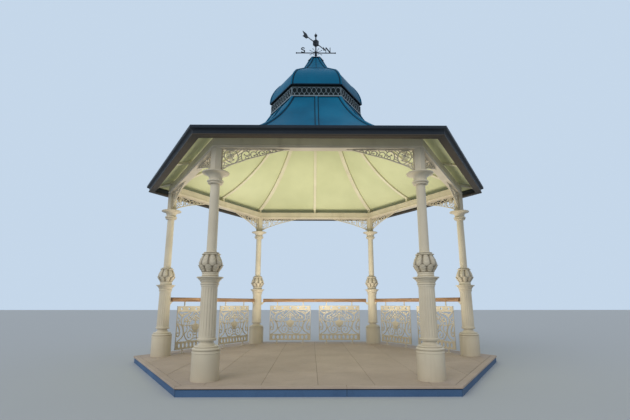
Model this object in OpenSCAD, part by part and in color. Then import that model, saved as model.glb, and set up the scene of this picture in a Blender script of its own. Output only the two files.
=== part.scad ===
// Six-sided park bandstand in cast iron, with a bell-cast roof, a lantern, an ogee cupola and a weather vane.
// Millimetres, +Z up. The origin is on the ground at the centre. The open front bay faces -Y.

/* [Plan] */
// Distance from the centre to each column's axis
column_ring_r = 2750; // [2600:10:2950]

/* [Plinth] */
// Height of the stone riser
riser_h = 85; // [60:1:180]
// Thickness of the floor paving
paving_t = 25; // [20:1:40]
// Paving beyond the columns' axes, at the corners
plinth_margin = 469; // [350:1:600]
// Overhang of the paving over the riser
paving_overhang = 12; // [4:1:20]

/* [Column foot and lower shaft] */
// Radius of the plain drum
drum_r = 169; // [150:1:185]
// Height of the plain drum
drum_h = 345; // [250:1:420]
// Height of the stepped moulding over the drum
foot_moulding_h = 115; // [100:1:140]
// Height of the plain ring under the flutes
foot_ring_h = 30; // [15:1:45]
// Radius of the fluted shaft at its foot
fluted_r = 105; // [95:1:115]
// How much the fluted shaft narrows to its top
fluted_taper = 5; // [2:1:10]
// Height of the fluted shaft
fluted_h = 620; // [560:1:700]
// Number of flutes
flute_count = 18; // [12:1:20]
// Radius of a flute
flute_r = 12; // [8:0.5:13]
// Depth of a flute
flute_depth = 5.5; // [4:0.5:8]

/* [Column collar and leaf bulb] */
// Height of the bell-shaped collar over the flutes
collar_h = 105; // [80:1:130]
// Radius of the collar's disc
collar_disc_r = 166; // [150:1:180]
// Thickness of the collar's disc
collar_disc_t = 20; // [12:1:28]
// Height of the neck under the leaves
neck_h = 55; // [30:1:80]
// Radius of the ring over the neck
neck_r = 104; // [96:1:110]
// Height of that ring
neck_ring_h = 17; // [12:1:22]
// Radius of the neck
waist_r = 84; // [76:1:94]
// Height of the bulb of leaves
bulb_h = 245; // [200:1:280]
// Radius of the leaf tips
leaf_tip_r = 158; // [135:1:170]
// Number of leaves round the bulb
leaf_count = 8; // [6:1:10]

/* [Column upper shaft and head] */
// Radius of the upper shaft at its foot
shaft_foot_r = 65; // [60:1:72]
// Radius of the upper shaft at its top
shaft_top_r = 61; // [55:1:64]
// Height of the capital
capital_h = 167; // [150:1:200]
// Radius of the capital's disc
capital_disc_r = 179; // [150:1:200]
// Thickness of the capital's disc
capital_disc_t = 20; // [12:1:28]
// Height of the six-sided post over the capital
post_h = 335; // [310:1:380]
// Width of the post across its flats
post_w = 140; // [110:1:150]

/* [Ring beam] */
// Height of the beam's underside over the floor
beam_underside_h = 2957; // [2800:1:3200]
// Height of the beam
beam_h = 140; // [110:1:180]
// Width of the beam
beam_w = 144; // [120:1:160]

/* [Lace brackets] */
// Reach of a bracket along the beam, from the post
bracket_reach = 930; // [800:1:1000]
// Drop of a bracket down the post
bracket_drop = 290; // [250:1:310]
// Thickness of the cast lace
lace_t = 24; // [16:1:32]
// Width of the bars in the lace
lace_bar_w = 13; // [9:0.5:16]

/* [Railings] */
// Width of a railing panel
panel_w = 960; // [880:1:990]
// Height of a railing panel
panel_h = 787; // [740:1:820]
// Gap between the two panels of a bay
panel_gap = 200; // [160:1:240]
// Thickness of a railing panel
panel_t = 22; // [16:1:30]
// Height of the feet under a panel
panel_foot_h = 66; // [40:1:90]
// Height of the stubs from a panel to the handrail
panel_stub_h = 84; // [60:1:110]
// Distance from a panel's centre to its feet
panel_foot_x = 305; // [250:1:360]
// Width of its feet and stubs
panel_foot_w = 24; // [16:1:30]
// Height of the panel's bottom band of oval holes
oval_band_h = 135; // [110:1:150]
// Height of the panel's top band
top_band_h = 98; // [80:1:110]
// Number of oval holes in the bottom band
oval_count = 9; // [7:1:11]
// Plain metal beside the first and last oval
oval_margin = 50; // [30:1:70]
// Depth of the lozenges in the top band
panel_sink = 4; // [2:0.5:7]
// Width of the panel's bars
panel_bar_w = 15; // [10:0.5:20]

/* [Handrail] */
// Height of the timber handrail
handrail_h = 76; // [60:1:90]
// Width of the timber handrail
handrail_w = 92; // [70:1:110]
// Distance from the column's axis to the handrail's end
handrail_end = 150; // [140:1:200]
// Length of the bracket that carries the handrail's end
rail_bracket_l = 110; // [90:1:140]
// Thickness of that bracket
rail_bracket_t = 16; // [10:1:24]

/* [Main roof] */
// Eave's corners beyond the columns' axes
eave_overhang = 450; // [380:1:520]
// Height of the eave over the top of the ring beam
eave_rise = 18; // [10:1:60]
// Height from the eave to the lantern
roof_rise = 1545; // [1400:1:1650]
// Radius of the bell-cast curve
roof_curve_r = 2950; // [2850:1:3500]
// Thickness of the roof covering
sheet_t = 12; // [8:1:20]
// Thickness of the ceiling lining
lining_t = 8; // [6:1:14]
// Depth of the rafters under the lining
rafter_d = 34; // [25:1:40]
// Width of a rafter in the middle of a face
mid_rafter_w = 60; // [40:1:80]
// Width of a rafter under a hip
hip_rafter_w = 84; // [60:1:110]
// Width of the rolls over the hips
hip_roll_w = 58; // [40:1:80]
// Width of the roll up the middle of a face
mid_roll_w = 44; // [30:1:60]
// Height of the rolls
roll_h = 20; // [12:1:30]
// Joint between the ceiling panels at a hip
lining_joint = 2; // [1:0.5:4]
// Distance of a rafter's shoe inside the ring beam's faces
shoe_inset = 20; // [5:1:35]

/* [Gutter] */
// Height of the moulded gutter
gutter_h = 124; // [100:1:140]
// Gutter's lip beyond the eave
gutter_lip = 53; // [40:1:70]
// Height of that lip
gutter_lip_h = 36; // [28:1:42]
// Gutter's box behind the eave
gutter_back = 85; // [60:1:110]
// Thickness of the gutter's wall
gutter_wall = 8; // [5:1:12]

/* [Lantern] */
// Corner radius of the lantern's pierced frieze
frieze_r = 858; // [820:1:880]
// Height of the frieze
frieze_h = 150; // [120:1:170]
// Thickness of the frieze
frieze_t = 14; // [8:1:18]
// Number of ovals across one side of the frieze
frieze_ovals = 10; // [8:1:12]
// Plain end of each side of the frieze
frieze_end = 18; // [14:1:24]
// Thickness of the lantern's wall
lantern_wall_t = 40; // [30:1:60]
// Drop of the lantern's wall under the rafters
kerb_drop = 30; // [15:1:60]
// Gap from the frieze up to the cupola's eave
lantern_gap = 28; // [15:1:50]

/* [Cupola] */
// Corner radius of the cupola's eave
cupola_r = 925; // [910:1:980]
// Height of the cupola's upright edge
cupola_edge_h = 8; // [4:1:12]
// Height of the cupola from its eave to its cap
cupola_h = 999; // [940:1:1100]
// Radius of the round side
cupola_side_r = 560; // [530:1:590]
// Angle that the round side turns through, in degrees
cupola_side_turn = 44; // [42:0.5:46]
// Slope from there up to the spire's foot, in degrees
shoulder_slope = 37; // [34:1:40]
// Corner radius of the spire's foot
spire_foot_r = 430; // [400:1:460]
// Hollow of the spire's sides
spire_hollow = 20; // [10:1:26]
// Corner radius of the spire under the cap
spire_top_r = 140; // [130:1:150]
// Corner radius of the flat cap
cap_r = 163; // [155:1:175]
// Thickness of the cap
cap_t = 10; // [6:1:14]
// Thickness of the cupola's shell
cupola_t = 26; // [16:1:36]
// Width of the rolls on the cupola's hips
cupola_roll_w = 34; // [24:1:44]
// Height of those rolls
cupola_roll_h = 12; // [8:1:16]
// Joint between the cupola's faces, under the rolls
cupola_joint = 2; // [1:0.5:4]

/* [Weather vane] */
// Radius of the mast
mast_r = 13; // [10:0.5:16]
// Height of the compass arms over the cap
arms_h = 183; // [150:1:230]
// Half the length of a compass arm
arm_reach = 405; // [340:1:430]
// Radius of a compass arm
arm_r = 10; // [8:0.5:12]
// Thickness of the scrolls in the arms' angles
arm_scroll_t = 6; // [4:0.5:9]
// Radius of the beads on those scrolls
arm_bead_r = 9; // [6:0.5:11]
// Height of the turning hub's foot over the cap
hub_foot_h = 362; // [320:1:400]
// Height of the turning hub
hub_h = 108; // [100:1:140]
// Half the width of the square turning hub
hub_r = 44; // [32:1:50]
// Play between the hub and the mast
hub_play = 0.3; // [0.2:0.1:0.6]
// Distance from the mast to the arrow's point
arrow_l = 340; // [300:1:380]
// Distance from the mast to the end of the arrow's tail
tail_l = 424; // [380:1:460]
// Height of the arrow's tail plate
tail_h = 116; // [90:1:130]
// Length of that plate
tail_plate_l = 170; // [130:1:200]
// Depth of its swallow-tail notch
tail_notch = 50; // [30:1:70]
// Length of the arrow's head
head_l = 90; // [70:1:110]
// Width of the arrow's head
head_w = 84; // [60:1:100]
// Width of the arrow's bar
arrow_bar_w = 20; // [14:1:26]
// Thickness of the arrow's plates
arrow_t = 8; // [5:0.5:12]
// Direction of the arrow at rest, in degrees from +X
arrow_angle = 50; // [0:1:359]
// Radius of the ball on the mast
ball_r = 31; // [26:1:38]
// Gap from the hub up to the ball
ball_gap = 96; // [80:1:110]
// Height of the mast's tip over the cap
mast_h = 670; // [650:1:720]

/* [Hidden] */
$fn = 48;

// Bays are numbered anticlockwise from the front, and column k stands at the left end of bay k.
FRONT = 0;
FRONT_RIGHT = 1;
BACK_RIGHT = 2;
BACK = 3;
BACK_LEFT = 4;
FRONT_LEFT = 5;
RAILED_BAYS = [BACK_RIGHT, BACK, BACK_LEFT];
flat = cos(30);
half = tan(30);
far = 9000;
seat = 0.3;
fine = 0.1;

floor_z = riser_h + paving_t;
bay_d = column_ring_r * flat;
plinth_r = column_ring_r + plinth_margin;
beam_z = floor_z + beam_underside_h;
beam_top_z = beam_z + beam_h;
capital_z = beam_underside_h - post_h - capital_h;
fluted_z = drum_h + foot_moulding_h + foot_ring_h;
collar_z = fluted_z + fluted_h;
neck_z = collar_z + collar_h + collar_disc_t;
bulb_z = neck_z + neck_h;
shaft_z = bulb_z + bulb_h;
fluted_top_r = fluted_r - fluted_taper;

handrail_z = floor_z + panel_foot_h + panel_h + panel_stub_h;

// The roof's outer face is one arc in section, hollow side up, from the eave to the lantern.
eave_d = (column_ring_r + eave_overhang) * flat;
eave_z = beam_top_z + eave_rise;
frieze_d = frieze_r * flat;
kerb_z = eave_z + roof_rise;
wall_r = frieze_r - (frieze_t + seat) / flat;
chord = norm([eave_d - frieze_d, roof_rise]);
sag = sqrt(roof_curve_r * roof_curve_r - chord * chord / 4);
roof_c = [
    (eave_d + frieze_d) / 2 + sag * roof_rise / chord,
    (eave_z + kerb_z) / 2 + sag * (eave_d - frieze_d) / chord
];
shell_t = sheet_t + lining_t;
frieze_top_z = kerb_z + frieze_h;
cupola_z = frieze_top_z + lantern_gap;
cap_z = cupola_z + cupola_h;

function polar(r, a) = [r * cos(a), r * sin(a)];
function arc(c, r, a0, a1, n) = [for (i = [0:n]) c + polar(r, a0 + (a1 - a0) * i / n)];
function bow(p) = [for (i = [0:len(p) - 1]) p[len(p) - 1 - i]];
function roof_height(d, depth) =
    roof_c[1] - sqrt(pow(roof_curve_r + depth, 2) - pow(roof_c[0] - d, 2));

// Placing
module in_bay(k) {
    rotate([0, 0, 60 * k]) children();
}

module at_column(k) {
    in_bay(k) translate([-column_ring_r / 2, -bay_d, floor_z]) children();
}

// Stands an outline of (distance from the centre, height) up and runs it along the front bay.
module run(w) {
    translate([-w / 2, 0, 0]) rotate([90, 0, 90]) linear_extrude(w) mirror([1, 0]) children();
}

// The sixth of the plan behind the front bay, its sides drawn in by inset.
module sixth(inset = 0) {
    linear_extrude(far)
        polygon([[0, -inset / sin(30)], [-far * half, -inset / sin(30) - far], [far * half, -inset / sin(30) - far]]);
}

module hexagon(r) {
    circle(r = r, $fn = 6);
}

// A body that is a hexagon at every level: its section, on both sides of the axis, run along three bays.
module hex_body(w) {
    intersection_for(k = [0:2])
        in_bay(k) translate([-w / 2, 0, 0]) rotate([90, 0, 90]) linear_extrude(w) children();
}

// Everything under the roof's surface, at a depth under its outer face, up to a height.
module under_roof(depth, reach, top_z) {
    hex_body(4 * column_ring_r) difference() {
        translate([-reach, eave_z - 200]) square([2 * reach, top_z - eave_z + 200]);
        for (side = [-1, 1])
            translate([side * roof_c[0], roof_c[1]]) circle(r = roof_curve_r + depth, $fn = 256);
    }
}

// The roof's thickness between two depths, from the lantern to a distance from the centre.
module roof_layer(top, bottom, reach) {
    top_z = min(roof_height(frieze_d, top), kerb_z) + fine;
    difference() {
        under_roof(top, reach, top_z);
        under_roof(bottom, reach + 60, top_z + 60);
        translate([0, 0, eave_z - 400]) linear_extrude(far) hexagon(frieze_r);
    }
}

module roof_section(d0, d1, top, bottom) {
    intersection() {
        difference() {
            translate(roof_c) circle(r = roof_curve_r + bottom, $fn = 256);
            translate(roof_c) circle(r = roof_curve_r + top, $fn = 256);
        }
        translate([d0, eave_z - 200]) square([d1 - d0, min(roof_height(frieze_d, top), kerb_z) + fine - eave_z + 200]);
    }
}

// Upright slabs through the centre, one under each pair of hips.
module hip_planes(w) {
    for (k = [0:2]) rotate([0, 0, 60 * k]) translate([-far / 2, -w / 2, 0]) cube([far, w, far]);
}

// Strokes of the cast lace
function turned(p, i) = let (
        a = p[max(i - 1, 0)],
        b = p[min(i + 1, len(p) - 1)],
        t = (b - a) / norm(b - a)
    ) [-t[1], t[0]];

module stroke(p, w0, w1) {
    n = len(p) - 1;
    left = [for (i = [0:n]) p[i] + turned(p, i) * (w0 + (w1 - w0) * i / n) / 2];
    right = [for (i = [n:-1:0]) p[i] - turned(p, i) * (w0 + (w1 - w0) * i / n) / 2];
    polygon(concat(left, right));
}

module bar(p, w) {
    stroke(p, w, w);
}

module ring(c, r, w) {
    translate(c) difference() {
        circle(r = r, $fn = 24);
        circle(r = r - w, $fn = 24);
    }
}

function spiral(c, r0, r1, a0, a1, n) =
    [for (i = [0:n]) c + polar(r0 + (r1 - r0) * i / n, a0 + (a1 - a0) * i / n)];

// A smooth curve through the points
function bend(a, b, c, d, t) =
    0.5 * (2 * b + (c - a) * t + (2 * a - 5 * b + 4 * c - d) * t * t + (3 * b - a - 3 * c + d) * t * t * t);
function curve(p, n) = concat(
        [for (i = [0:len(p) - 2], j = [0:n - 1])
            bend(p[max(i - 1, 0)], p[i], p[i + 1], p[min(i + 2, len(p) - 1)], j / n)],
        [p[len(p) - 1]]
    );
function scaled(p, at, size) = [for (q = p) [at[0] + q[0] * size[0], at[1] + q[1] * size[1]]];

// A scroll that ends in a bud
module scroll(p, w0, w1, bud) {
    stroke(p, w0, w1);
    translate(p[len(p) - 1]) circle(r = bud, $fn = 12);
}

// Blends the strokes where they meet and gives the lace its thickness.
module cast_lace(t) {
    translate([0, t / 2, 0]) rotate([90, 0, 0])
        linear_extrude(t) offset(delta = -2) offset(delta = 2) children();
}

// Plinth
module plinth_riser() {
    color("lightslategray")
        linear_extrude(riser_h) hexagon(plinth_r - paving_overhang / flat);
}

module floor_paving() {
    color("tan") translate([0, 0, riser_h]) linear_extrude(paving_t) hexagon(plinth_r);
}

// Columns
module lower_column() {
    torus_r = 0.16 * foot_moulding_h;
    step_r = drum_r - torus_r;
    bead_r = 0.09 * foot_moulding_h;
    scotia_z = drum_h + 2 * torus_r + 2 * bead_r;
    scotia_h = foot_moulding_h - 2 * torus_r - 2 * bead_r;
    ring_r = fluted_r + 7;
    collar_foot_r = fluted_top_r + 7;
    bell_z = collar_z + 15;
    bell_h = collar_h - 15;
    difference() {
        rotate_extrude()
            polygon(concat(
                [[0, 0], [drum_r, 0], [drum_r, drum_h]],
                arc([drum_r - torus_r + 2, drum_h + torus_r], torus_r, -90, 90, 8),
                arc([step_r - bead_r, drum_h + 2 * torus_r + bead_r], bead_r, -90, 90, 6),
                arc([step_r - bead_r, scotia_z + scotia_h], scotia_h, -90, -180, 8),
                [[ring_r, drum_h + foot_moulding_h], [ring_r, fluted_z], [fluted_r, fluted_z]],
                [[fluted_top_r, collar_z], [collar_foot_r, collar_z], [collar_foot_r, bell_z]],
                [for (i = [1:6]) [
                    collar_foot_r + 24 * (1 - cos(15 * i)),
                    bell_z + bell_h * sin(15 * i)
                ]],
                [[collar_disc_r - 8, collar_z + collar_h], [collar_disc_r, collar_z + collar_h + 4]],
                [[collar_disc_r, neck_z - 4], [waist_r + 14, neck_z + 4], [waist_r, neck_z + 14]],
                [[waist_r, bulb_z - neck_ring_h - 5], [neck_r - 5, bulb_z - neck_ring_h]],
                [[neck_r, bulb_z - neck_ring_h + 5], [neck_r, bulb_z], [0, bulb_z]]
            ));
        for (i = [0:flute_count - 1])
            rotate([0, 0, 360 * i / flute_count])
                translate([fluted_r - flute_depth + flute_r, 0, fluted_z])
                    rotate([0, -atan(fluted_taper / fluted_h), 0])
                        translate([0, 0, 22]) cylinder(r = flute_r, h = fluted_h - 44);
    }
}

module upper_column() {
    bead_z = capital_z;
    disc_z = capital_z + capital_h - capital_disc_t;
    neck_top_r = 86;
    rotate_extrude()
        polygon(concat(
            [[0, shaft_z], [neck_r - 6, shaft_z], [neck_r - 6, shaft_z + 8]],
            [for (i = [0:5]) [
                shaft_foot_r + (neck_r - 6 - shaft_foot_r) * (1 - sin(18 * i)),
                shaft_z + 8 + 16 * (1 - cos(18 * i))
            ]],
            [[shaft_top_r, bead_z]],
            arc([neck_top_r, bead_z + 12], 12, -90, 90, 6),
            arc([neck_top_r + 8, bead_z + 40], 16, -90, 90, 8),
            [[neck_top_r, bead_z + 58], [neck_top_r, bead_z + 68]],
            [for (i = [1:7]) [
                neck_top_r + (capital_disc_r - 14 - neck_top_r) * (1 - cos(90 * i / 7)),
                bead_z + 68 + (disc_z - bead_z - 68) * sin(90 * i / 7)
            ]],
            [[capital_disc_r - 6, disc_z], [capital_disc_r, disc_z + 6]],
            [[capital_disc_r, disc_z + capital_disc_t - 4], [capital_disc_r - 6, disc_z + capital_disc_t]],
            [[0, disc_z + capital_disc_t]]
        ));
    translate([0, 0, disc_z + capital_disc_t])
        rotate([0, 0, 30]) linear_extrude(post_h) hexagon(post_w / 2 / flat);
}

module column(k) {
    color("cornsilk") at_column(k) {
        lower_column();
        upper_column();
    }
}

// Bulb of upright leaves between the two shafts
module leaf_bulb() {
    segments = 3 * leaf_count;
    profile = [[0, 0], [0.08, 0.2], [0.19, 0.74], [0.3, 1.02], [0.38, 0.88], [0.52, 0.68],
        [0.7, 0.4], [0.88, 0.12], [1, 0]];
    relief = [0, 0, 0.26, 0.5, 0.36, 0.3, 0.25, 0.12, 0];
    rings = len(profile) - 1;
    swell = leaf_tip_r - neck_r;
    depth = [0, 1, 1];
    function belly(i) = neck_r - 6 * profile[i][0] + swell * profile[i][1];
    pts = [for (i = [0:rings], j = [0:segments - 1])
        concat(polar(belly(i) - swell * relief[i] * (1 - depth[j % 3]), 360 * j / segments),
            bulb_z + bulb_h * profile[i][0])];
    sides = [for (i = [0:rings - 1], j = [0:segments - 1], side = [0, 1])
        let (a = i * segments + j, b = i * segments + (j + 1) % segments)
        side == 0 ? [a, a + segments, b] : [b, a + segments, b + segments]];
    foot = [for (j = [0:segments - 1]) j];
    top = [for (j = [segments - 1:-1:0]) rings * segments + j];
    polyhedron(points = pts, faces = concat([foot], sides, [top]));
}

module column_leaf_bulbs() {
    color("cornsilk") for (k = [0:5]) at_column(k) leaf_bulb();
}

// Railings
module panel_half() {
    field_z = oval_band_h;
    field_h = panel_h - oval_band_h - top_band_h;
    field_top = field_z + field_h;
    half_w = panel_w / 2;
    main_w = panel_bar_w + 7;
    thin_w = panel_bar_w + 3;
    size = [half_w - panel_bar_w, field_h];
    at = [0, field_z];
    function field(p, n = 2) = curve(scaled(p, at, size), n);
    bar([[0, panel_bar_w / 2], [half_w, panel_bar_w / 2]], panel_bar_w);
    bar([[0, field_z], [half_w, field_z]], panel_bar_w);
    bar([[0, field_top], [half_w, field_top]], panel_bar_w);
    bar([[0, panel_h - panel_bar_w / 2], [half_w, panel_h - panel_bar_w / 2]], panel_bar_w);
    bar([[half_w - panel_bar_w / 2, 0], [half_w - panel_bar_w / 2, panel_h]], panel_bar_w);
    // The great arch, its foot running out as a leg to the corner
    bar(field([[0.29, 1.01], [0.44, 0.94], [0.6, 0.9], [0.745, 0.81], [0.79, 0.67], [0.7, 0.5]]), main_w);
    stroke(field([[0.74, 0.56], [0.675, 0.45], [0.64, 0.34], [0.65, 0.23], [0.74, 0.12], [1, -0.01]]),
        2.1 * main_w, main_w);
    // Leaf in the top corner
    stroke(field([[1.01, 1.01], [0.9, 0.93], [0.8, 0.87], [0.72, 0.84]]), 0.6 * main_w, 2.6 * main_w);
    bar(field([[0.8, 0.87], [0.66, 0.925], [0.5, 0.925]]), main_w);
    // Three bars of the pointed arch
    bar(field([[0.29, 1.01], [0.3, 0.93], [0.42, 0.84], [0.53, 0.76]]), thin_w);
    bar(field([[-0.02, 1.01], [0.16, 0.87], [0.31, 0.775], [0.42, 0.66], [0.47, 0.53]]), thin_w);
    bar(field([[-0.02, 0.885], [0.13, 0.79], [0.25, 0.7], [0.34, 0.6], [0.36, 0.52]]), thin_w);
    bar(field([[0.16, 0.87], [0.12, 0.93], [0.13, 1.01]]), 0.8 * thin_w);
    bar(field([[0.38, 0.89], [0.3, 0.78], [0.22, 0.72]], 1), 0.8 * thin_w);
    bar(field([[0.5, 0.78], [0.4, 0.68], [0.31, 0.63]], 1), 0.8 * thin_w);
    bar(field([[0.07, 0.93], [0.08, 0.82]], 1), 0.8 * thin_w);
    // Eye and its tail
    translate(scaled([[0.52, 0.71]], at, size)[0]) difference() {
        circle(r = 0.088 * field_h, $fn = 20);
        circle(r = 0.034 * field_h, $fn = 14);
    }
    bar(field([[0.6, 0.76], [0.63, 0.67], [0.62, 0.59], [0.68, 0.5]]), thin_w);
    // Cross bar, tulip bars and shell
    bar(field([[0.72, 0.51], [0.5, 0.53], [0.3, 0.525], [0.12, 0.53]]), thin_w);
    bar(field([[0.5, 0.53], [0.455, 0.46], [0.45, 0.38], [0.5, 0.31], [0.6, 0.26]]), 1.2 * thin_w);
    bar(field([[0.32, 0.52], [0.275, 0.44], [0.3, 0.37], [0.36, 0.31]]), thin_w);
    polygon(scaled([[-0.02, 0.6], [0.06, 0.58], [0.14, 0.56], [0.21, 0.5], [0.19, 0.41], [0.12, 0.35],
        [0.07, 0.29], [-0.02, 0.26]], at, size));
    // Trefoil over the shell
    stroke(scaled([[0, 0.82], [0, 0.55]], at, size), 0.8 * main_w, 2 * main_w);
    translate(scaled([[0.09, 0.735]], at, size)[0]) difference() {
        circle(r = 0.066 * field_h, $fn = 16);
        circle(r = 0.028 * field_h, $fn = 12);
    }
    translate(scaled([[0, 0.83]], at, size)[0]) circle(r = 0.03 * field_h, $fn = 12);
    // Great scroll beside the centre line
    scroll(field([[0.61, 0.3], [0.54, 0.15], [0.4, 0.035], [0.22, 0.035], [0.1, 0.14], [0.11, 0.27],
        [0.23, 0.345], [0.36, 0.32], [0.42, 0.23], [0.38, 0.14], [0.29, 0.115], [0.22, 0.17],
        [0.25, 0.225]]), main_w, 0.8 * thin_w, 0.75 * main_w);
    bar(field([[0.3, -0.01], [0.13, 0.07], [-0.02, 0.1]]), thin_w);
    bar(field([[0.09, 0.24], [0.03, 0.2], [-0.02, 0.21]]), thin_w);
    // Scrolls on the frame
    scroll(field([[1.01, 0.6], [0.93, 0.53], [0.87, 0.44], [0.84, 0.33], [0.86, 0.22], [0.93, 0.18],
        [0.985, 0.23], [0.965, 0.31], [0.92, 0.3]]), 2 * main_w, 0.7 * thin_w, 0.65 * main_w);
    bar(field([[1.01, 0.61], [0.87, 0.585], [0.73, 0.52]]), thin_w);
    scroll(field([[1.01, 0.8], [0.93, 0.785], [0.88, 0.72], [0.9, 0.655], [0.955, 0.66]]),
        thin_w, 0.8 * thin_w, 0.6 * main_w);
}

module panel() {
    pitch = (panel_w - 2 * oval_margin) / oval_count;
    dot_pitch = (panel_w - 2 * panel_bar_w) / 5;
    difference() {
        cast_lace(panel_t) {
            intersection() {
                translate([-panel_w / 2, 0]) square([panel_w, panel_h]);
                for (side = [0, 1]) mirror([side, 0]) panel_half();
            }
            for (side = [-1, 1]) {
                x = side * panel_foot_x;
                bar([[x, 1], [x, -panel_foot_h]], panel_foot_w);
                bar([[x, panel_h - 1], [x, panel_h + panel_stub_h]], panel_foot_w);
            }
            difference() {
                translate([-panel_w / 2, 0]) square([panel_w, oval_band_h]);
                for (i = [0:oval_count - 1])
                    translate([(i - (oval_count - 1) / 2) * pitch, oval_band_h * 0.53])
                        scale([0.62, 1]) circle(r = 0.3 * oval_band_h, $fn = 10);
            }
            difference() {
                translate([-panel_w / 2, panel_h - top_band_h]) square([panel_w, top_band_h]);
                for (i = [-2:2])
                    translate([i * dot_pitch, panel_h - top_band_h / 2])
                        circle(r = 0.22 * top_band_h, $fn = 10);
            }
        }
        // Sunk lozenges between the holes of the top band, on both faces
        for (i = [-1.5:1:1.5], face = [0, 1])
            mirror([0, face, 0])
                translate([i * dot_pitch, panel_t / 2 + 1, panel_h - top_band_h / 2])
                    rotate([90, 0, 0]) linear_extrude(panel_sink + 1)
                        polygon([[-0.3 * dot_pitch, 0], [0, 0.17 * top_band_h], [0.3 * dot_pitch, 0],
                            [0, -0.17 * top_band_h]]);
    }
}

module railing(k, side) {
    color("cornsilk") in_bay(k)
        translate([side * (panel_w + panel_gap) / 2, -bay_d, floor_z + panel_foot_h]) panel();
}

module handrails() {
    l = column_ring_r - 2 * handrail_end;
    color("sienna") for (k = RAILED_BAYS)
        in_bay(k) translate([-l / 2, -bay_d, handrail_z]) rotate([90, 0, 90]) linear_extrude(l)
            polygon(concat(
                [[-handrail_w / 2 + 8, 0], [handrail_w / 2 - 8, 0], [handrail_w / 2, 8]],
                arc([handrail_w / 2 - 26, handrail_h - 26], 26, 0, 90, 6),
                arc([-handrail_w / 2 + 26, handrail_h - 26], 26, 90, 180, 6),
                [[-handrail_w / 2, 8]]
            ));
}

module handrail_brackets() {
    z = handrail_z - floor_z;
    color("cornsilk") for (k = RAILED_BAYS, end = [0, 1])
        in_bay(k) mirror([end, 0, 0]) translate([-column_ring_r / 2, -bay_d, floor_z])
            difference() {
                translate([0, rail_bracket_t / 2, z]) rotate([90, 0, 0]) linear_extrude(rail_bracket_t)
                    polygon(concat(
                        [[80, -34], [80, -70]],
                        arc([fluted_r + rail_bracket_l, -80], 80, 160, 90, 8),
                        [[fluted_r + rail_bracket_l, 0], [fluted_r + 12, 0]]
                    ));
                translate([0, 0, fluted_z])
                    cylinder(r1 = fluted_r + seat, r2 = fluted_top_r + seat, h = fluted_h);
            }
}

// Ring beam
module ring_beam(k) {
    w = beam_w / 2;
    right = [[w, beam_top_z], [w, beam_z + 40], [w + 6, beam_z + 35], [w + 6, beam_z + 24],
        [w - 3, beam_z + 20], [w - 3, beam_z + 8], [w - 10, beam_z]];
    left = [for (p = bow(right)) [-p[0], p[1]]];
    color("cornsilk") in_bay(k) intersection() {
        run(2 * far * half) translate([bay_d, 0]) polygon(concat(right, left));
        sixth();
    }
}

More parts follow.
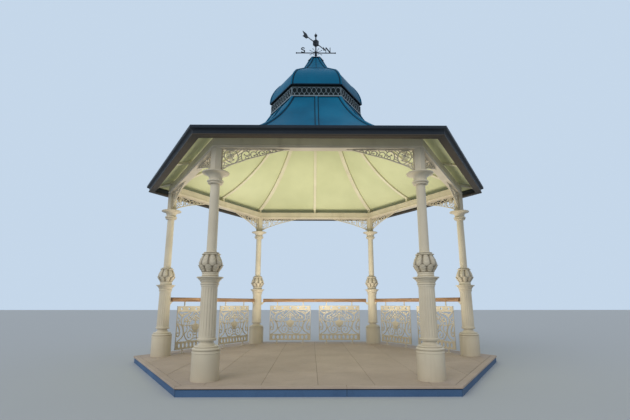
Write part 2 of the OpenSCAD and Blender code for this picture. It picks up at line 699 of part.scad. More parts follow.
// Lace brackets
module lace_bracket() {
    w = lace_bar_w;
    size = [bracket_reach, bracket_drop];
    eye = scaled([[0.13, -0.31]], [0, 0], size)[0];
    leaf = scaled([[0.385, -0.23]], [0, 0], size)[0];
    loop = scaled([[0.375, -0.42]], [0, 0], size)[0];
    disc = scaled([[0.49, -0.25]], [0, 0], size)[0];
    function lace(p, n = 2) = curve(scaled(p, [0, 0], size), n);
    intersection() {
        translate([0, -bracket_drop]) square(size);
        union() {
            bar([[w / 2, 0], [w / 2, -bracket_drop]], w);
            bar([[0, -w / 2], [bracket_reach, -w / 2]], w);
            // Lower rib
            stroke(lace([[-0.02, -1.04], [0.03, -0.96], [0.086, -0.84], [0.161, -0.735], [0.3, -0.575], [0.37, -0.49],
                [0.484, -0.385], [0.606, -0.285], [0.742, -0.165], [0.9, -0.02]]), w + 5, w);
            // Eye of the great scroll with its rings
            translate(eye) {
                difference() {
                    circle(r = 0.125 * bracket_drop + w / 2, $fn = 18);
                    circle(r = 0.125 * bracket_drop - w / 2, $fn = 18);
                }
                for (a = [25:90:295]) bar([polar(0.12 * bracket_drop, a), polar(0.31 * bracket_drop, a)], w);
                bar(arc([0, 0], 0.215 * bracket_drop, 50, 280, 10), w - 2);
            }
            scroll(lace([[0.2, -0.7], [0.235, -0.5], [0.225, -0.27], [0.18, -0.08], [0.115, -0.03], [0.055, -0.08],
                [0.03, -0.25], [0.038, -0.44], [0.085, -0.6], [0.14, -0.6], [0.175, -0.53]]), w + 3, w, w);
            // Fronds between the first scroll and the second
            for (i = [0:3])
                bar(lace([[0.22 + 0.03 * i, -0.69 + 0.035 * i], [0.245 + 0.03 * i, -0.3], [0.29 + 0.032 * i, -0.02]]), w);
            for (i = [0:2])
                bar(lace([[0.235 + 0.03 * i, -0.5 + 0.1 * i], [0.275 + 0.03 * i, -0.42 + 0.1 * i]], 1), w);
            // Second scroll with its leaf and ring
            scroll(lace([[0.335, -0.55], [0.33, -0.3], [0.355, -0.11], [0.4, -0.07], [0.435, -0.16], [0.435, -0.32],
                [0.41, -0.36]]), w + 3, w, w * 0.8);
            translate(leaf) scale([1.5, 1]) circle(r = 0.09 * bracket_drop, $fn = 14);
            translate(loop) difference() {
                circle(r = 0.095 * bracket_drop, $fn = 14);
                circle(r = 0.045 * bracket_drop, $fn = 10);
            }
            bar([leaf, loop + [0, 0.07 * bracket_drop]], w);
            bar(lace([[0.435, -0.2], [0.45, -0.1], [0.44, -0.02]]), w);
            // Round leaf and the small scrolls out to the tip
            translate(disc) circle(r = 0.12 * bracket_drop, $fn = 16);
            bar(lace([[0.47, -0.39], [0.485, -0.25], [0.48, -0.03]]), w);
            bar(lace([[0.5, -0.2], [0.53, -0.11], [0.52, -0.02]]), w);
            scroll(lace([[0.54, -0.35], [0.54, -0.18], [0.57, -0.08], [0.605, -0.1], [0.605, -0.2]]), w + 2, w, w * 0.9);
            bar(lace([[0.575, -0.3], [0.575, -0.16]], 1), w);
            scroll(lace([[0.645, -0.26], [0.645, -0.13], [0.675, -0.06], [0.705, -0.11]]), w + 2, w, w * 0.8);
            scroll(lace([[0.73, -0.18], [0.735, -0.09], [0.765, -0.05], [0.785, -0.08]]), w, w, w * 0.6);
            // Leaf under the great scroll
            bar(lace([[-0.02, -0.63], [0.04, -0.66], [0.095, -0.76], [0.16, -0.735]]), w);
            stroke(lace([[0.01, -0.94], [0.035, -0.83], [0.09, -0.79]]), 2.2 * w, w);
            bar(lace([[0.02, -0.66], [0.035, -0.83]], 1), w);
        }
    }
}

module lace_brackets(k) {
    color("cornsilk") in_bay(k) for (end = [0, 1])
        mirror([end, 0, 0])
            translate([-column_ring_r / 2 + post_w / 2, -bay_d, beam_z]) cast_lace(lace_t) lace_bracket();
}

// Rafters under the roof, each with the shoe that stands on the ring beam
module shoe_section() {
    shoe_l = beam_w - 2 * shoe_inset;
    difference() {
        translate([bay_d - shoe_l / 2, beam_top_z]) square([shoe_l, roof_rise / 4]);
        translate(roof_c) circle(r = roof_curve_r + shell_t + rafter_d / 2, $fn = 256);
    }
}

module hip_rafters() {
    shoe_l = beam_w - 2 * shoe_inset;
    shoe_r = column_ring_r - shoe_l / 2;
    shoe_top = roof_height((column_ring_r + shoe_l / 2) * flat, shell_t + rafter_d / 2);
    color("cornsilk") {
        intersection() {
            roof_layer(shell_t, shell_t + rafter_d, eave_d - gutter_back);
            hip_planes(hip_rafter_w);
        }
        for (k = [0:5]) rotate([0, 0, 60 * k])
            translate([shoe_r, -hip_rafter_w / 2 + shoe_inset, beam_top_z])
                cube([shoe_l, hip_rafter_w - 2 * shoe_inset, shoe_top - beam_top_z]);
    }
}

module mid_rafters() {
    color("cornsilk") for (k = [0:5]) in_bay(k) {
        run(mid_rafter_w) roof_section(frieze_d, eave_d - gutter_back, shell_t, shell_t + rafter_d);
        run(mid_rafter_w - 2 * 8) shoe_section();
    }
}

module ceiling_lining() {
    color("palegoldenrod") difference() {
        roof_layer(sheet_t, shell_t, eave_d);
        hip_planes(lining_joint);
    }
}

// Gutter, its box behind the eave and its moulded lip in front
module gutter() {
    out = eave_d + gutter_lip;
    foot = eave_z - gutter_h;
    box_top = roof_height(eave_d, shell_t);
    face = concat(
        [[out - 40, foot], [out - 34, foot + 6], [out - 34, foot + 16], [out - 42, foot + 22]],
        arc([out - 16, eave_z - gutter_lip_h - 38], 30, 160, 90, 6),
        [[out - 8, eave_z - gutter_lip_h - 6], [out, eave_z - gutter_lip_h], [out, eave_z]]
    );
    color("darkslategray") difference() {
        hex_body(4 * column_ring_r)
            polygon(concat(face, [for (p = bow(face)) [-p[0], p[1]]]));
        translate([0, 0, box_top]) linear_extrude(gutter_h) hexagon((eave_d + seat) / flat);
        translate([0, 0, eave_z - gutter_lip_h + gutter_wall]) linear_extrude(gutter_h) difference() {
            hexagon((out - gutter_wall) / flat);
            hexagon((eave_d - 12) / flat);
        }
        translate([0, 0, foot - 1]) linear_extrude(gutter_h + 2) hexagon((eave_d - gutter_back) / flat);
    }
}

// Roof covering
module roof(k) {
    color("teal") in_bay(k)
        intersection() {
            run(4 * column_ring_r) roof_section(frieze_d, eave_d, 0, sheet_t);
            sixth();
        }
}

module roof_rolls() {
    color("teal") {
        intersection() {
            roof_layer(-roll_h, 0, eave_d);
            hip_planes(hip_roll_w);
        }
        for (k = [0:5]) in_bay(k) run(mid_roll_w) roof_section(frieze_d, eave_d, -roll_h, 0);
    }
}

// Lantern
module lantern_wall() {
    foot_z = floor(roof_height(frieze_d, shell_t + rafter_d)) - kerb_drop;
    color("dimgray") difference() {
        union() {
            translate([0, 0, foot_z]) linear_extrude(kerb_z - foot_z) hexagon(frieze_r);
            translate([0, 0, foot_z]) linear_extrude(cupola_z - foot_z) hexagon(wall_r);
        }
        translate([0, 0, foot_z - 10]) linear_extrude(far) hexagon(wall_r - lantern_wall_t / flat);
    }
}

module frieze_side() {
    w = frieze_r;
    pitch = (w - 2 * frieze_end) / frieze_ovals;
    difference() {
        translate([-w / 2, 0]) square([w, frieze_h]);
        for (i = [0:frieze_ovals - 1])
            translate([(i + 0.5 - frieze_ovals / 2) * pitch, frieze_h / 2])
                scale([1.2 * pitch / frieze_h, 1]) circle(r = 0.36 * frieze_h, $fn = 10);
        for (i = [1:frieze_ovals - 1], side = [-1, 1])
            translate([(i - frieze_ovals / 2) * pitch, frieze_h / 2])
                polygon([[-0.27 * pitch, -0.41 * side * frieze_h], [0.27 * pitch, -0.41 * side * frieze_h],
                    [0, -0.24 * side * frieze_h]]);
    }
}

module lantern_frieze() {
    color("cornsilk") for (k = [0:5]) in_bay(k)
        intersection() {
            translate([0, frieze_t - frieze_d, kerb_z + fine]) rotate([90, 0, 0])
                linear_extrude(frieze_t) offset(delta = -0.2) offset(delta = 0.2) frieze_side();
            sixth(0.5);
        }
}

// Cupola. Its section goes up the round side, over the shoulder to the spire's foot, and up the hollow spire.
function facing(a) = [sin(a), cos(a)];
function hollow_side(a, b, depth, n) = let (
        t = (b - a) / norm(b - a)
    ) [for (i = [1:n]) a + (b - a) * i / n - [t[1], -t[0]] * depth * 4 * (i / n) * (1 - i / n)];

function ogee(inset) = let (
        edge_d = cupola_r * flat,
        side_c = [edge_d - cupola_side_r, cupola_z + cupola_edge_h],
        side_end = side_c + polar(cupola_side_r, cupola_side_turn),
        foot_d = spire_foot_r * flat,
        foot = [foot_d, side_end[1] + (side_end[0] - foot_d) * tan(shoulder_slope)],
        top = [spire_top_r * flat, cap_z],
        slope = atan((top[1] - foot[1]) / (foot[0] - top[0])),
        crease = (facing(shoulder_slope) + facing(slope)) / (1 + facing(shoulder_slope) * facing(slope))
    ) concat(
        [[edge_d - inset, cupola_z]],
        arc(side_c, cupola_side_r - inset, 0, cupola_side_turn, 8),
        [foot - crease * inset],
        hollow_side(foot - crease * inset, top - [inset / sin(slope), 0], spire_hollow, 6)
    );

module cupola_body(inset) {
    side = ogee(inset);
    hex_body(4 * cupola_r) polygon(concat(side, [for (p = bow(side)) [-p[0], p[1]]]));
}

module cupola() {
    color("teal") difference() {
        cupola_body(0);
        intersection() {
            cupola_body(cupola_t);
            translate([0, 0, cupola_z + cupola_t]) cylinder(r = 2 * cupola_r, h = cupola_h - 2 * cupola_t);
        }
        translate([0, 0, cupola_z - 1]) linear_extrude(cupola_t + 2) hexagon(wall_r - lantern_wall_t / flat);
        hip_planes(cupola_joint);
    }
}

module cupola_rolls() {
    color("teal") intersection() {
        difference() {
            cupola_body(-cupola_roll_h);
            cupola_body(-seat);
        }
        hip_planes(cupola_roll_w);
        translate([0, 0, cupola_z + 8]) linear_extrude(cupola_h - 8 - seat) difference() {
            hexagon(2 * cupola_r);
            hexagon(spire_top_r);
        }
    }
}

// Weather vane
module vane_mast() {
    ball_z = cap_z + hub_foot_h + hub_h + ball_gap + ball_r;
    color("midnightblue") {
        translate([0, 0, cap_z]) linear_extrude(cap_t) hexagon(cap_r);
        translate([0, 0, cap_z]) cylinder(r1 = 46, r2 = mast_r + 4, h = 60);
        translate([0, 0, cap_z]) cylinder(r = mast_r, h = mast_h - 60);
        translate([0, 0, cap_z + hub_foot_h - 14 - hub_play]) cylinder(r = mast_r + 9, h = 14);
        translate([0, 0, cap_z + hub_foot_h + hub_h + hub_play]) cylinder(r = mast_r + 7, h = 12);
        translate([0, 0, ball_z]) sphere(r = ball_r);
        translate([0, 0, ball_z + ball_r - 4]) cylinder(r1 = 9, r2 = 1.5, h = cap_z + mast_h - ball_z - ball_r + 4);
    }
}

module arm_scrolls() {
    inner = mast_r + 8;
    ends = [[0.3, 0.155], [0.15, 0.245], [0.3, -0.105]];
    tracks = [
        [[inner, 0.04 * arm_reach], [0.12 * arm_reach, 0.045 * arm_reach], [0.21 * arm_reach, 0.1 * arm_reach]],
        [[0.16 * arm_reach, 0], [0.09 * arm_reach, 0.07 * arm_reach], [0.09 * arm_reach, 0.17 * arm_reach]],
        [[inner, -0.12 * arm_reach], [0.12 * arm_reach, -0.1 * arm_reach], [0.17 * arm_reach, 0],
            [0.22 * arm_reach, -0.06 * arm_reach]]
    ];
    for (i = [0:2]) {
        translate([0, arm_scroll_t / 2, 0]) rotate([90, 0, 0]) linear_extrude(arm_scroll_t)
            bar(curve(concat(tracks[i], [ends[i] * arm_reach]), 3), arm_scroll_t);
        translate([ends[i][0] * arm_reach, 0, ends[i][1] * arm_reach]) sphere(r = arm_bead_r, $fn = 20);
    }
}

module vane_arms() {
    z = cap_z + arms_h;
    color("midnightblue") difference() {
        union() {
            for (a = [0, 90]) rotate([0, 0, a]) {
                translate([-arm_reach, 0, z]) rotate([0, 90, 0]) cylinder(r = arm_r, h = 2 * arm_reach);
                for (end = [-1, 1]) translate([end * arm_reach, 0, z]) sphere(r = arm_r + 6);
            }
            translate([0, 0, z - 0.15 * arm_reach]) cylinder(r = mast_r + 10, h = 0.25 * arm_reach);
            for (a = [0:90:270]) rotate([0, 0, a]) translate([0, 0, z]) arm_scrolls();
        }
        translate([0, 0, z - arm_reach / 4]) cylinder(r = mast_r + seat, h = arm_reach / 2);
    }
}

module vane_arrow() {
    z = cap_z + hub_foot_h;
    mid = hub_h / 2;
    side = [[-tail_l + tail_notch, 0], [-tail_l, tail_h / 2], [-tail_l + 0.7 * tail_plate_l, tail_h / 2],
        [-tail_l + tail_plate_l, arrow_bar_w / 2], [arrow_l - 0.87 * head_l, arrow_bar_w / 2],
        [arrow_l - head_l, head_w / 2], [arrow_l, 0]];
    color("midnightblue") translate([0, 0, z]) difference() {
        union() {
            rotate([0, 0, arrow_angle]) translate([-hub_r, -hub_r, 0]) cube([2 * hub_r, 2 * hub_r, hub_h]);
            rotate([0, 0, arrow_angle]) translate([0, arrow_t / 2, mid]) rotate([90, 0, 0])
                linear_extrude(arrow_t)
                    polygon(concat(side, [for (p = bow(side)) if (p[1] > 0) [p[0], -p[1]]]));
        }
        translate([0, 0, -1]) cylinder(r = mast_r + hub_play, h = hub_h + 2);
    }
}

plinth_riser();
floor_paving();
column(FRONT);  // column_front_left
column(FRONT_RIGHT);  // column_front_right
column(BACK_RIGHT);  // column_right
column(BACK);  // column_back_right
column(BACK_LEFT);  // column_back_left
column(FRONT_LEFT);  // column_left
column_leaf_bulbs();
railing(BACK_LEFT, -1);  // railing_back_left_1
railing(BACK_LEFT, 1);  // railing_back_left_2
railing(BACK, -1);  // railing_back_1
railing(BACK, 1);  // railing_back_2
railing(BACK_RIGHT, -1);  // railing_back_right_1
railing(BACK_RIGHT, 1);  // railing_back_right_2
handrails();
handrail_brackets();
ring_beam(FRONT);  // ring_beam_front
ring_beam(FRONT_RIGHT);  // ring_beam_front_right
ring_beam(BACK_RIGHT);  // ring_beam_back_right
ring_beam(BACK);  // ring_beam_back
ring_beam(BACK_LEFT);  // ring_beam_back_left
ring_beam(FRONT_LEFT);  // ring_beam_front_left
lace_brackets(FRONT);  // lace_brackets_front
lace_brackets(FRONT_RIGHT);  // lace_brackets_front_right
lace_brackets(BACK_RIGHT);  // lace_brackets_back_right
lace_brackets(BACK);  // lace_brackets_back
lace_brackets(BACK_LEFT);  // lace_brackets_back_left
lace_brackets(FRONT_LEFT);  // lace_brackets_front_left
hip_rafters();
mid_rafters();
ceiling_lining();
gutter();
roof(FRONT);  // roof_front
roof(FRONT_RIGHT);  // roof_front_right
roof(BACK_RIGHT);  // roof_back_right
roof(BACK);  // roof_back
roof(BACK_LEFT);  // roof_back_left
roof(FRONT_LEFT);  // roof_front_left
roof_rolls();
lantern_wall();
lantern_frieze();
cupola();
cupola_rolls();
vane_mast();
vane_arms();
vane_arrow();
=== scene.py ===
# Six-sided park bandstand in cast iron, stone, timber and sheet metal, with its small parts and finishes.
# Metres, +Z up. The origin is on the ground at the centre, and the open front bay faces -Y.
import math

import bmesh
import bpy
from mathutils import Matrix, Vector


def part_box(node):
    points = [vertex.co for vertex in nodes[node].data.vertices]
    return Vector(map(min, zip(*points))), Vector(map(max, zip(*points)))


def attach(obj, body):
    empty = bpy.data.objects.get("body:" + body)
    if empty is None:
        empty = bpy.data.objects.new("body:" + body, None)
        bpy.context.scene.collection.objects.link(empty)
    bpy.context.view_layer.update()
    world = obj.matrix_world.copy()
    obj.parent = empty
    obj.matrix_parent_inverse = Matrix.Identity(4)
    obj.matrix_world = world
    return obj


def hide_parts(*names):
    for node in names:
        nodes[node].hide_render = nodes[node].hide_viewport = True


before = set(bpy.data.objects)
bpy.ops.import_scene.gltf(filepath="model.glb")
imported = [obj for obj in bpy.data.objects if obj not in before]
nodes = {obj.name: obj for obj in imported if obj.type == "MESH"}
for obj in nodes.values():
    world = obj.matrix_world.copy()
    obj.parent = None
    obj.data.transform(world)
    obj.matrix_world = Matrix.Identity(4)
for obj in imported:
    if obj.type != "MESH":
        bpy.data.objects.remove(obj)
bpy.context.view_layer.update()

# Camera. It stands in front of the open bay, a little left of the middle and a metre up, and looks slightly
# upwards.
camera_data = bpy.data.cameras.new("camera")
camera_data.sensor_width = 36
camera_data.lens = 23.554
camera = bpy.data.objects.new("camera", camera_data)
camera.location = (-0.096, -7.695, 1.014)
camera.rotation_euler = (math.radians(102.77), 0, math.radians(-0.583))
bpy.context.collection.objects.link(camera)
bpy.context.scene.camera = camera
bpy.context.scene.view_settings.view_transform = "Standard"

# Light. An even overcast sky, a broad soft sun from the front left, and a warmer light from below that
# lifts the shade under the roof. The sky itself shows as a plain pale blue.


def add_node(tree, kind, inputs=None, **settings):
    node = tree.nodes.new(kind)
    for key, value in settings.items():
        setattr(node, key, value)
    for socket, value in (inputs or {}).items():
        if isinstance(value, bpy.types.NodeSocket):
            tree.links.new(value, node.inputs[socket])
        else:
            node.inputs[socket].default_value = value
    return node


sky = bpy.data.worlds.new("sky")
sky.use_nodes = True
bpy.context.scene.world = sky
sky_tree = sky.node_tree
sky_tree.nodes.clear()
ray = add_node(sky_tree, "ShaderNodeLightPath").outputs
seen = ray["Is Camera Ray"]
for kind in ("Is Glossy Ray", "Is Transmission Ray"):
    seen = add_node(sky_tree, "ShaderNodeMath", {0: seen, 1: ray[kind]}, operation="MAXIMUM").outputs[0]
lit = add_node(sky_tree, "ShaderNodeBackground", {"Color": (0.93, 0.97, 1, 1), "Strength": 0.5}).outputs[0]
shown = add_node(sky_tree, "ShaderNodeBackground", {"Color": (0.56, 0.68, 0.82, 1), "Strength": 1}).outputs[0]
sky_mix = add_node(sky_tree, "ShaderNodeMixShader", {0: seen, 1: lit, 2: shown}).outputs[0]
add_node(sky_tree, "ShaderNodeOutputWorld", {"Surface": sky_mix})


def add_light(name, light, place, aim, tint):
    light.color = tint
    holder = bpy.data.objects.new(name, light)
    holder.location = place
    holder.rotation_euler = (Vector(aim) - Vector(place)).to_track_quat("-Z", "Y").to_euler()
    holder.visible_camera = False
    holder.visible_glossy = False
    bpy.context.collection.objects.link(holder)


day = bpy.data.lights.new("day", "SUN")
day.energy = 1.25
day.angle = math.radians(50)
add_light("day", day, (-7, -12, 10), (0, 0, 2), (1, 0.98, 0.95))
room = bpy.data.lights.new("room", "AREA")
room.shape = "DISK"
room.size = 3.2
room.energy = 140
add_light("room", room, (0, 0.2, 0.5), (0, 0.2, 4), (1, 0.93, 0.8))

# Ground. A plain pale floor, wide enough to meet the sky behind, which belongs to the studio and not to the
# bandstand.
ground_mesh = bpy.data.meshes.new("ground")
far = 60
ground_mesh.from_pydata([(-far, -far, 0), (far, -far, 0), (far, far, 0), (-far, far, 0)], [], [(0, 1, 2, 3)])
ground = bpy.data.objects.new("ground", ground_mesh)
bpy.context.collection.objects.link(ground)
ground_paint = bpy.data.materials.new("studio_floor")
ground_paint.use_nodes = True
floor_shader = ground_paint.node_tree.nodes["Principled BSDF"]
floor_shader.inputs["Base Color"].default_value = (0.46, 0.5, 0.54, 1)
floor_shader.inputs["Roughness"].default_value = 0.9
ground_mesh.materials.append(ground_paint)

# Riser. The plinth's edge is a low course of dressed stone, two long blocks to a side, mitred at the
# corners and bedded in mortar that shows as a fine recessed joint. The mortar is coloured near black as
# painted shadow under the paving's overhang.
riser_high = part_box("plinth_riser")[1]
riser_corner = riser_high.x
riser_depth = 0.14
block_joint = 0.31
joint_w = 0.005
joint_depth = 0.006
bed_gap = 0.011
bed_foot = 0.002
bed_arris = 0.001
riser_arris = 0.003
side_cos = math.cos(math.radians(30))
side_tan = math.tan(math.radians(30))


def clip(outline, n, reach):
    kept = []
    for a, b in zip(outline, outline[1:] + outline[:1]):
        da = a[0] * n[0] + a[1] * n[1] - reach
        db = b[0] * n[0] + b[1] * n[1] - reach
        if da <= 0:
            kept.append(a)
        if da * db < 0:
            t = da / (da - db)
            kept.append((a[0] + (b[0] - a[0]) * t, a[1] + (b[1] - a[1]) * t))
    return kept


def shrink(outline, inset):
    result = list(outline)
    for a, b in zip(outline, outline[1:] + outline[:1]):
        length = math.hypot(b[0] - a[0], b[1] - a[1])
        if length < 1e-6:
            continue
        n = ((b[1] - a[1]) / length, (a[0] - b[0]) / length)
        result = clip(result, n, a[0] * n[0] + a[1] * n[1] - inset)
    return result


def skin(bm, rings, closed=False):
    pairs = list(zip(rings, rings[1:]))
    if closed:
        pairs.append((rings[-1], rings[0]))
    n = len(rings[0])
    for low, high in pairs:
        for i in range(n):
            bm.faces.new((low[i], low[(i + 1) % n], high[(i + 1) % n], high[i]))
    if not closed:
        bm.faces.new(list(reversed(rings[0])))
        bm.faces.new(rings[-1])


def lay_block(bm, outline, z0, z1, arris, tone=0.5):
    shade = bm.verts.layers.float.get("tone") or bm.verts.layers.float.new("tone")
    rings = []
    for ring, z in ((outline, z0), (outline, z1 - arris), (shrink(outline, arris), z1)):
        rings.append([bm.verts.new((x, y, z)) for x, y in ring])
    if len(rings[2]) != len(rings[0]):
        bmesh.ops.delete(bm, geom=rings[2], context="VERTS")
        rings[2] = [bm.verts.new((v.co.x, v.co.y, z1)) for v in rings[1]]
    for ring in rings:
        for v in ring:
            v[shade] = tone
    skin(bm, rings)


def mitred(outer, inner):
    return [(-outer * side_tan, -outer), (outer * side_tan, -outer), (inner * side_tan, -inner),
            (-inner * side_tan, -inner)]


def piece_from(name, bm, material):
    mesh = bpy.data.meshes.new(name)
    bm.to_mesh(mesh)
    bm.free()
    mesh.materials.append(material)
    piece = bpy.data.objects.new(name, mesh)
    bpy.context.collection.objects.link(piece)
    return piece


def start_material(name):
    material = bpy.data.materials.new(name)
    material.use_nodes = True
    tree = material.node_tree
    return material, tree, add_node(tree, "ShaderNodeTexCoord").outputs["Object"]


def speckle(tree, where, scale, detail, stretch=(1, 1, 1)):
    grown = add_node(tree, "ShaderNodeMapping", {"Vector": where, "Scale": stretch}).outputs[0]
    noise = add_node(tree, "ShaderNodeTexNoise", {"Vector": grown, "Scale": scale, "Detail": detail})
    return noise.outputs["Fac"]


def ramp(tree, value, stops):
    node = add_node(tree, "ShaderNodeValToRGB", {0: value})
    first, last = node.color_ramp.elements
    first.position = stops[0][0]
    first.color = (*stops[0][1], 1)
    last.position = stops[-1][0]
    last.color = (*stops[-1][1], 1)
    for position, colour in stops[1:-1]:
        node.color_ramp.elements.new(position).color = (*colour, 1)
    return node.outputs["Color"]


def patches(tree, value, start, full, most):
    return ramp(tree, value, [(start, (0, 0, 0)), (full, (most, most, most))])


def blend_colours(tree, share, a, b, kind="MIX"):
    a, b = [(*colour, 1) if isinstance(colour, tuple) else colour for colour in (a, b)]
    mix = add_node(tree, "ShaderNodeMix", {0: share, 6: a, 7: b}, data_type="RGBA", blend_type=kind)
    return mix.outputs[2]


def between(tree, value, low, high, start=0, end=1):
    reach = {"Value": value, "From Min": start, "From Max": end, "To Min": low, "To Max": high}
    return add_node(tree, "ShaderNodeMapRange", reach).outputs[0]


def finish_material(material, colour, roughness, height=None, depth=0, strength=0, specular=0.5, coat=0):
    tree = material.node_tree
    shader = tree.nodes["Principled BSDF"]
    tree.links.new(colour, shader.inputs["Base Color"])
    if height is not None:
        bump = add_node(tree, "ShaderNodeBump", {"Height": height, "Distance": depth, "Strength": strength})
        tree.links.new(bump.outputs[0], shader.inputs["Normal"])
    if isinstance(roughness, float):
        shader.inputs["Roughness"].default_value = roughness
    else:
        tree.links.new(roughness, shader.inputs["Roughness"])
    shader.inputs["Specular IOR Level"].default_value = specular
    shader.inputs["Coat Weight"].default_value = coat
    shader.inputs["Coat Roughness"].default_value = 0.3
    return material


def cut_stone(name, dark, pale, stain):
    material, tree, where = start_material(name)
    tone = add_node(tree, "ShaderNodeAttribute", attribute_name="tone").outputs["Fac"]
    broad = speckle(tree, where, 1.7, 5)
    grain = speckle(tree, where, 210, 3)
    body = ramp(tree, broad, [(0.3, dark), (0.7, pale)])
    toned = blend_colours(tree, between(tree, tone, 0, 0.16), body, stain)
    worn = blend_colours(tree, patches(tree, speckle(tree, where, 9, 6), 0.55, 0.8, 0.4), toned, stain)
    fine = ramp(tree, grain, [(0.3, (0.82, 0.82, 0.82)), (0.7, (1.06, 1.06, 1.06))])
    colour = blend_colours(tree, 1.0, worn, fine, "MULTIPLY")
    return finish_material(material, colour, between(tree, broad, 0.6, 0.85), grain, 0.0012, 0.6)


def mortar(name, colour):
    material, tree, where = start_material(name)
    sand = speckle(tree, where, 320, 3)
    sanded = ramp(tree, sand, [(0.3, tuple(c * 0.8 for c in colour)), (0.7, colour)])
    return finish_material(material, sanded, 0.95, sand, 0.001, 0.8)


def start_tree(name, settings):
    tree = bpy.data.node_groups.new(name, "GeometryNodeTree")
    tree.interface.new_socket("Geometry", in_out="INPUT", socket_type="NodeSocketGeometry")
    sockets = []
    for label, kind, value in settings:
        socket = tree.interface.new_socket(label, in_out="INPUT", socket_type="NodeSocket" + kind)
        sockets.append((socket.identifier, value))
    tree.interface.new_socket("Geometry", in_out="OUTPUT", socket_type="NodeSocketGeometry")
    return tree, tree.nodes.new("NodeGroupInput").outputs, sockets


def set_out(piece, tree, sockets, points, shape, finish, spin=(0, 0, 0)):
    spread = {"Points": points, "Instance": shape, "Rotation": spin}
    copy = add_node(tree, "GeometryNodeInstanceOnPoints", spread)
    real = add_node(tree, "GeometryNodeRealizeInstances", {0: copy.outputs[0]})
    coated = add_node(tree, "GeometryNodeSetMaterial", {"Geometry": real.outputs[0], "Material": finish})
    add_node(tree, "NodeGroupOutput", {0: coated.outputs[0]})
    maker = piece.modifiers.new(tree.name, "NODES")
    maker.node_group = tree
    for identifier, value in sockets:
        maker[identifier] = value
    bpy.context.view_layer.update()
    ready = piece.evaluated_get(bpy.context.evaluated_depsgraph_get())
    mesh = bpy.data.meshes.new_from_object(ready)
    mesh.name = piece.name
    piece.modifiers.clear()
    old = piece.data
    piece.data = mesh
    bpy.data.meshes.remove(old)
    return piece


def six_round(piece, copies=6, turn=60):
    paint = piece.data.materials[0]
    tree, given, sockets = start_tree("six_round", (
        ("Copies", "Int", copies), ("Turn", "Float", math.radians(turn)), ("Finish", "Material", paint)))
    spots = add_node(tree, "GeometryNodePoints", {"Count": given["Copies"]}).outputs[0]
    number = add_node(tree, "GeometryNodeInputIndex").outputs[0]
    angle = add_node(tree, "ShaderNodeMath", {0: number, 1: given["Turn"]}, operation="MULTIPLY").outputs[0]
    upright = add_node(tree, "ShaderNodeCombineXYZ", {"Z": angle}).outputs[0]
    spin = add_node(tree, "FunctionNodeEulerToRotation", {0: upright}).outputs[0]
    return set_out(piece, tree, sockets, spots, given["Geometry"], given["Finish"], spin)


riser_stone = cut_stone("riser_stone", (0.052, 0.115, 0.235), (0.075, 0.155, 0.3), (0.04, 0.08, 0.16))
# Near-black mortar: a real recessed joint, its colour painted shadow under the paving's overhang.
riser_shadow_mortar = mortar("riser_shadow_mortar", (0.018, 0.026, 0.042))
riser_flat = riser_corner * side_cos
side_outline = mitred(riser_flat, riser_flat - riser_depth)
bm = bmesh.new()
for n, reach, tone in (((1, 0), block_joint, 0.2), ((-1, 0), -block_joint, 0.8)):
    block = shrink(clip(side_outline, n, reach), joint_w / 2)
    lay_block(bm, block, 0, riser_high.z - bed_gap, riser_arris, tone)
riser_blocks = six_round(piece_from("riser_blocks", bm, riser_stone))
bm = bmesh.new()
lay_block(bm, shrink(side_outline, joint_depth), bed_foot, riser_high.z - bed_arris, bed_arris)
riser_bed = six_round(piece_from("riser_mortar_bed", bm, riser_shadow_mortar))
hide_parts("plinth_riser")
for piece in (riser_blocks, riser_bed):
    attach(piece, "bandstand")

# Paving. Buff stone slabs in straight rows inside a narrow mitred edging, on a mortar bed. Every slab has a
# fine worn arris, and the joints are pointed a little below the surface.
floor_low, floor_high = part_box("floor_paving")
floor_corner = floor_high.x
edging_w = 0.095
slab_w = 0.65
slab_l = 0.9
first_slab_x = -0.01
first_slab_y = -1.79
slabs_each_side = 6
slab_foot = 0.004
slab_arris = 0.002
edging_joint = 0.004
edging_arris = 0.004
paving_joint_depth = 0.003
paving_stone = cut_stone("paving_stone", (0.43, 0.345, 0.275), (0.53, 0.44, 0.365), (0.31, 0.245, 0.2))
paving_mortar = mortar("paving_mortar", (0.24, 0.20, 0.155))
hexagon_sides = [(math.cos(math.radians(a)), math.sin(math.radians(a))) for a in range(30, 390, 60)]


def inside_hexagon(outline, reach):
    for n in hexagon_sides:
        outline = clip(outline, n, reach)
    return outline


bm = bmesh.new()
floor_flat = floor_corner * side_cos
rows = int(2 * floor_corner / slab_l) + 2
for i in range(-slabs_each_side, slabs_each_side + 1):
    for j in range(-rows, rows):
        x0 = first_slab_x + i * slab_w
        y0 = first_slab_y + j * slab_l
        cell = [(x0, y0), (x0 + slab_w, y0), (x0 + slab_w, y0 + slab_l), (x0, y0 + slab_l)]
        cell = inside_hexagon(cell, floor_flat - edging_w)
        if len(cell) < 3:
            continue
        cell = shrink(cell, joint_w / 2)
        if len(cell) > 2:
            tone = (i * 7 + j * 13) % 11 / 10
            lay_block(bm, cell, floor_low.z + slab_foot, floor_high.z, slab_arris, tone)
slabs = piece_from("paving_slabs", bm, paving_stone)
bm = bmesh.new()
front_edge = mitred(floor_flat, floor_flat - edging_w)
for n, reach, tone in (((1, 0), block_joint, 0.1), ((-1, 0), -block_joint, 0.45)):
    stone = shrink(clip(front_edge, n, reach), edging_joint / 2)
    lay_block(bm, stone, floor_low.z + bed_arris, floor_high.z, edging_arris, tone)
edging = six_round(piece_from("paving_edging", bm, paving_stone))
bm = bmesh.new()
bed_corner = floor_corner - joint_depth
corner_turns = [math.radians(a) for a in range(0, 360, 60)]
bed = [(bed_corner * math.cos(a), bed_corner * math.sin(a)) for a in corner_turns]
lay_block(bm, bed, floor_low.z, floor_high.z - paving_joint_depth, bed_arris)
bedding = piece_from("paving_mortar_bed", bm, paving_mortar)
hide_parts("floor_paving")
for piece in (slabs, edging, bedding):
    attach(piece, "bandstand")

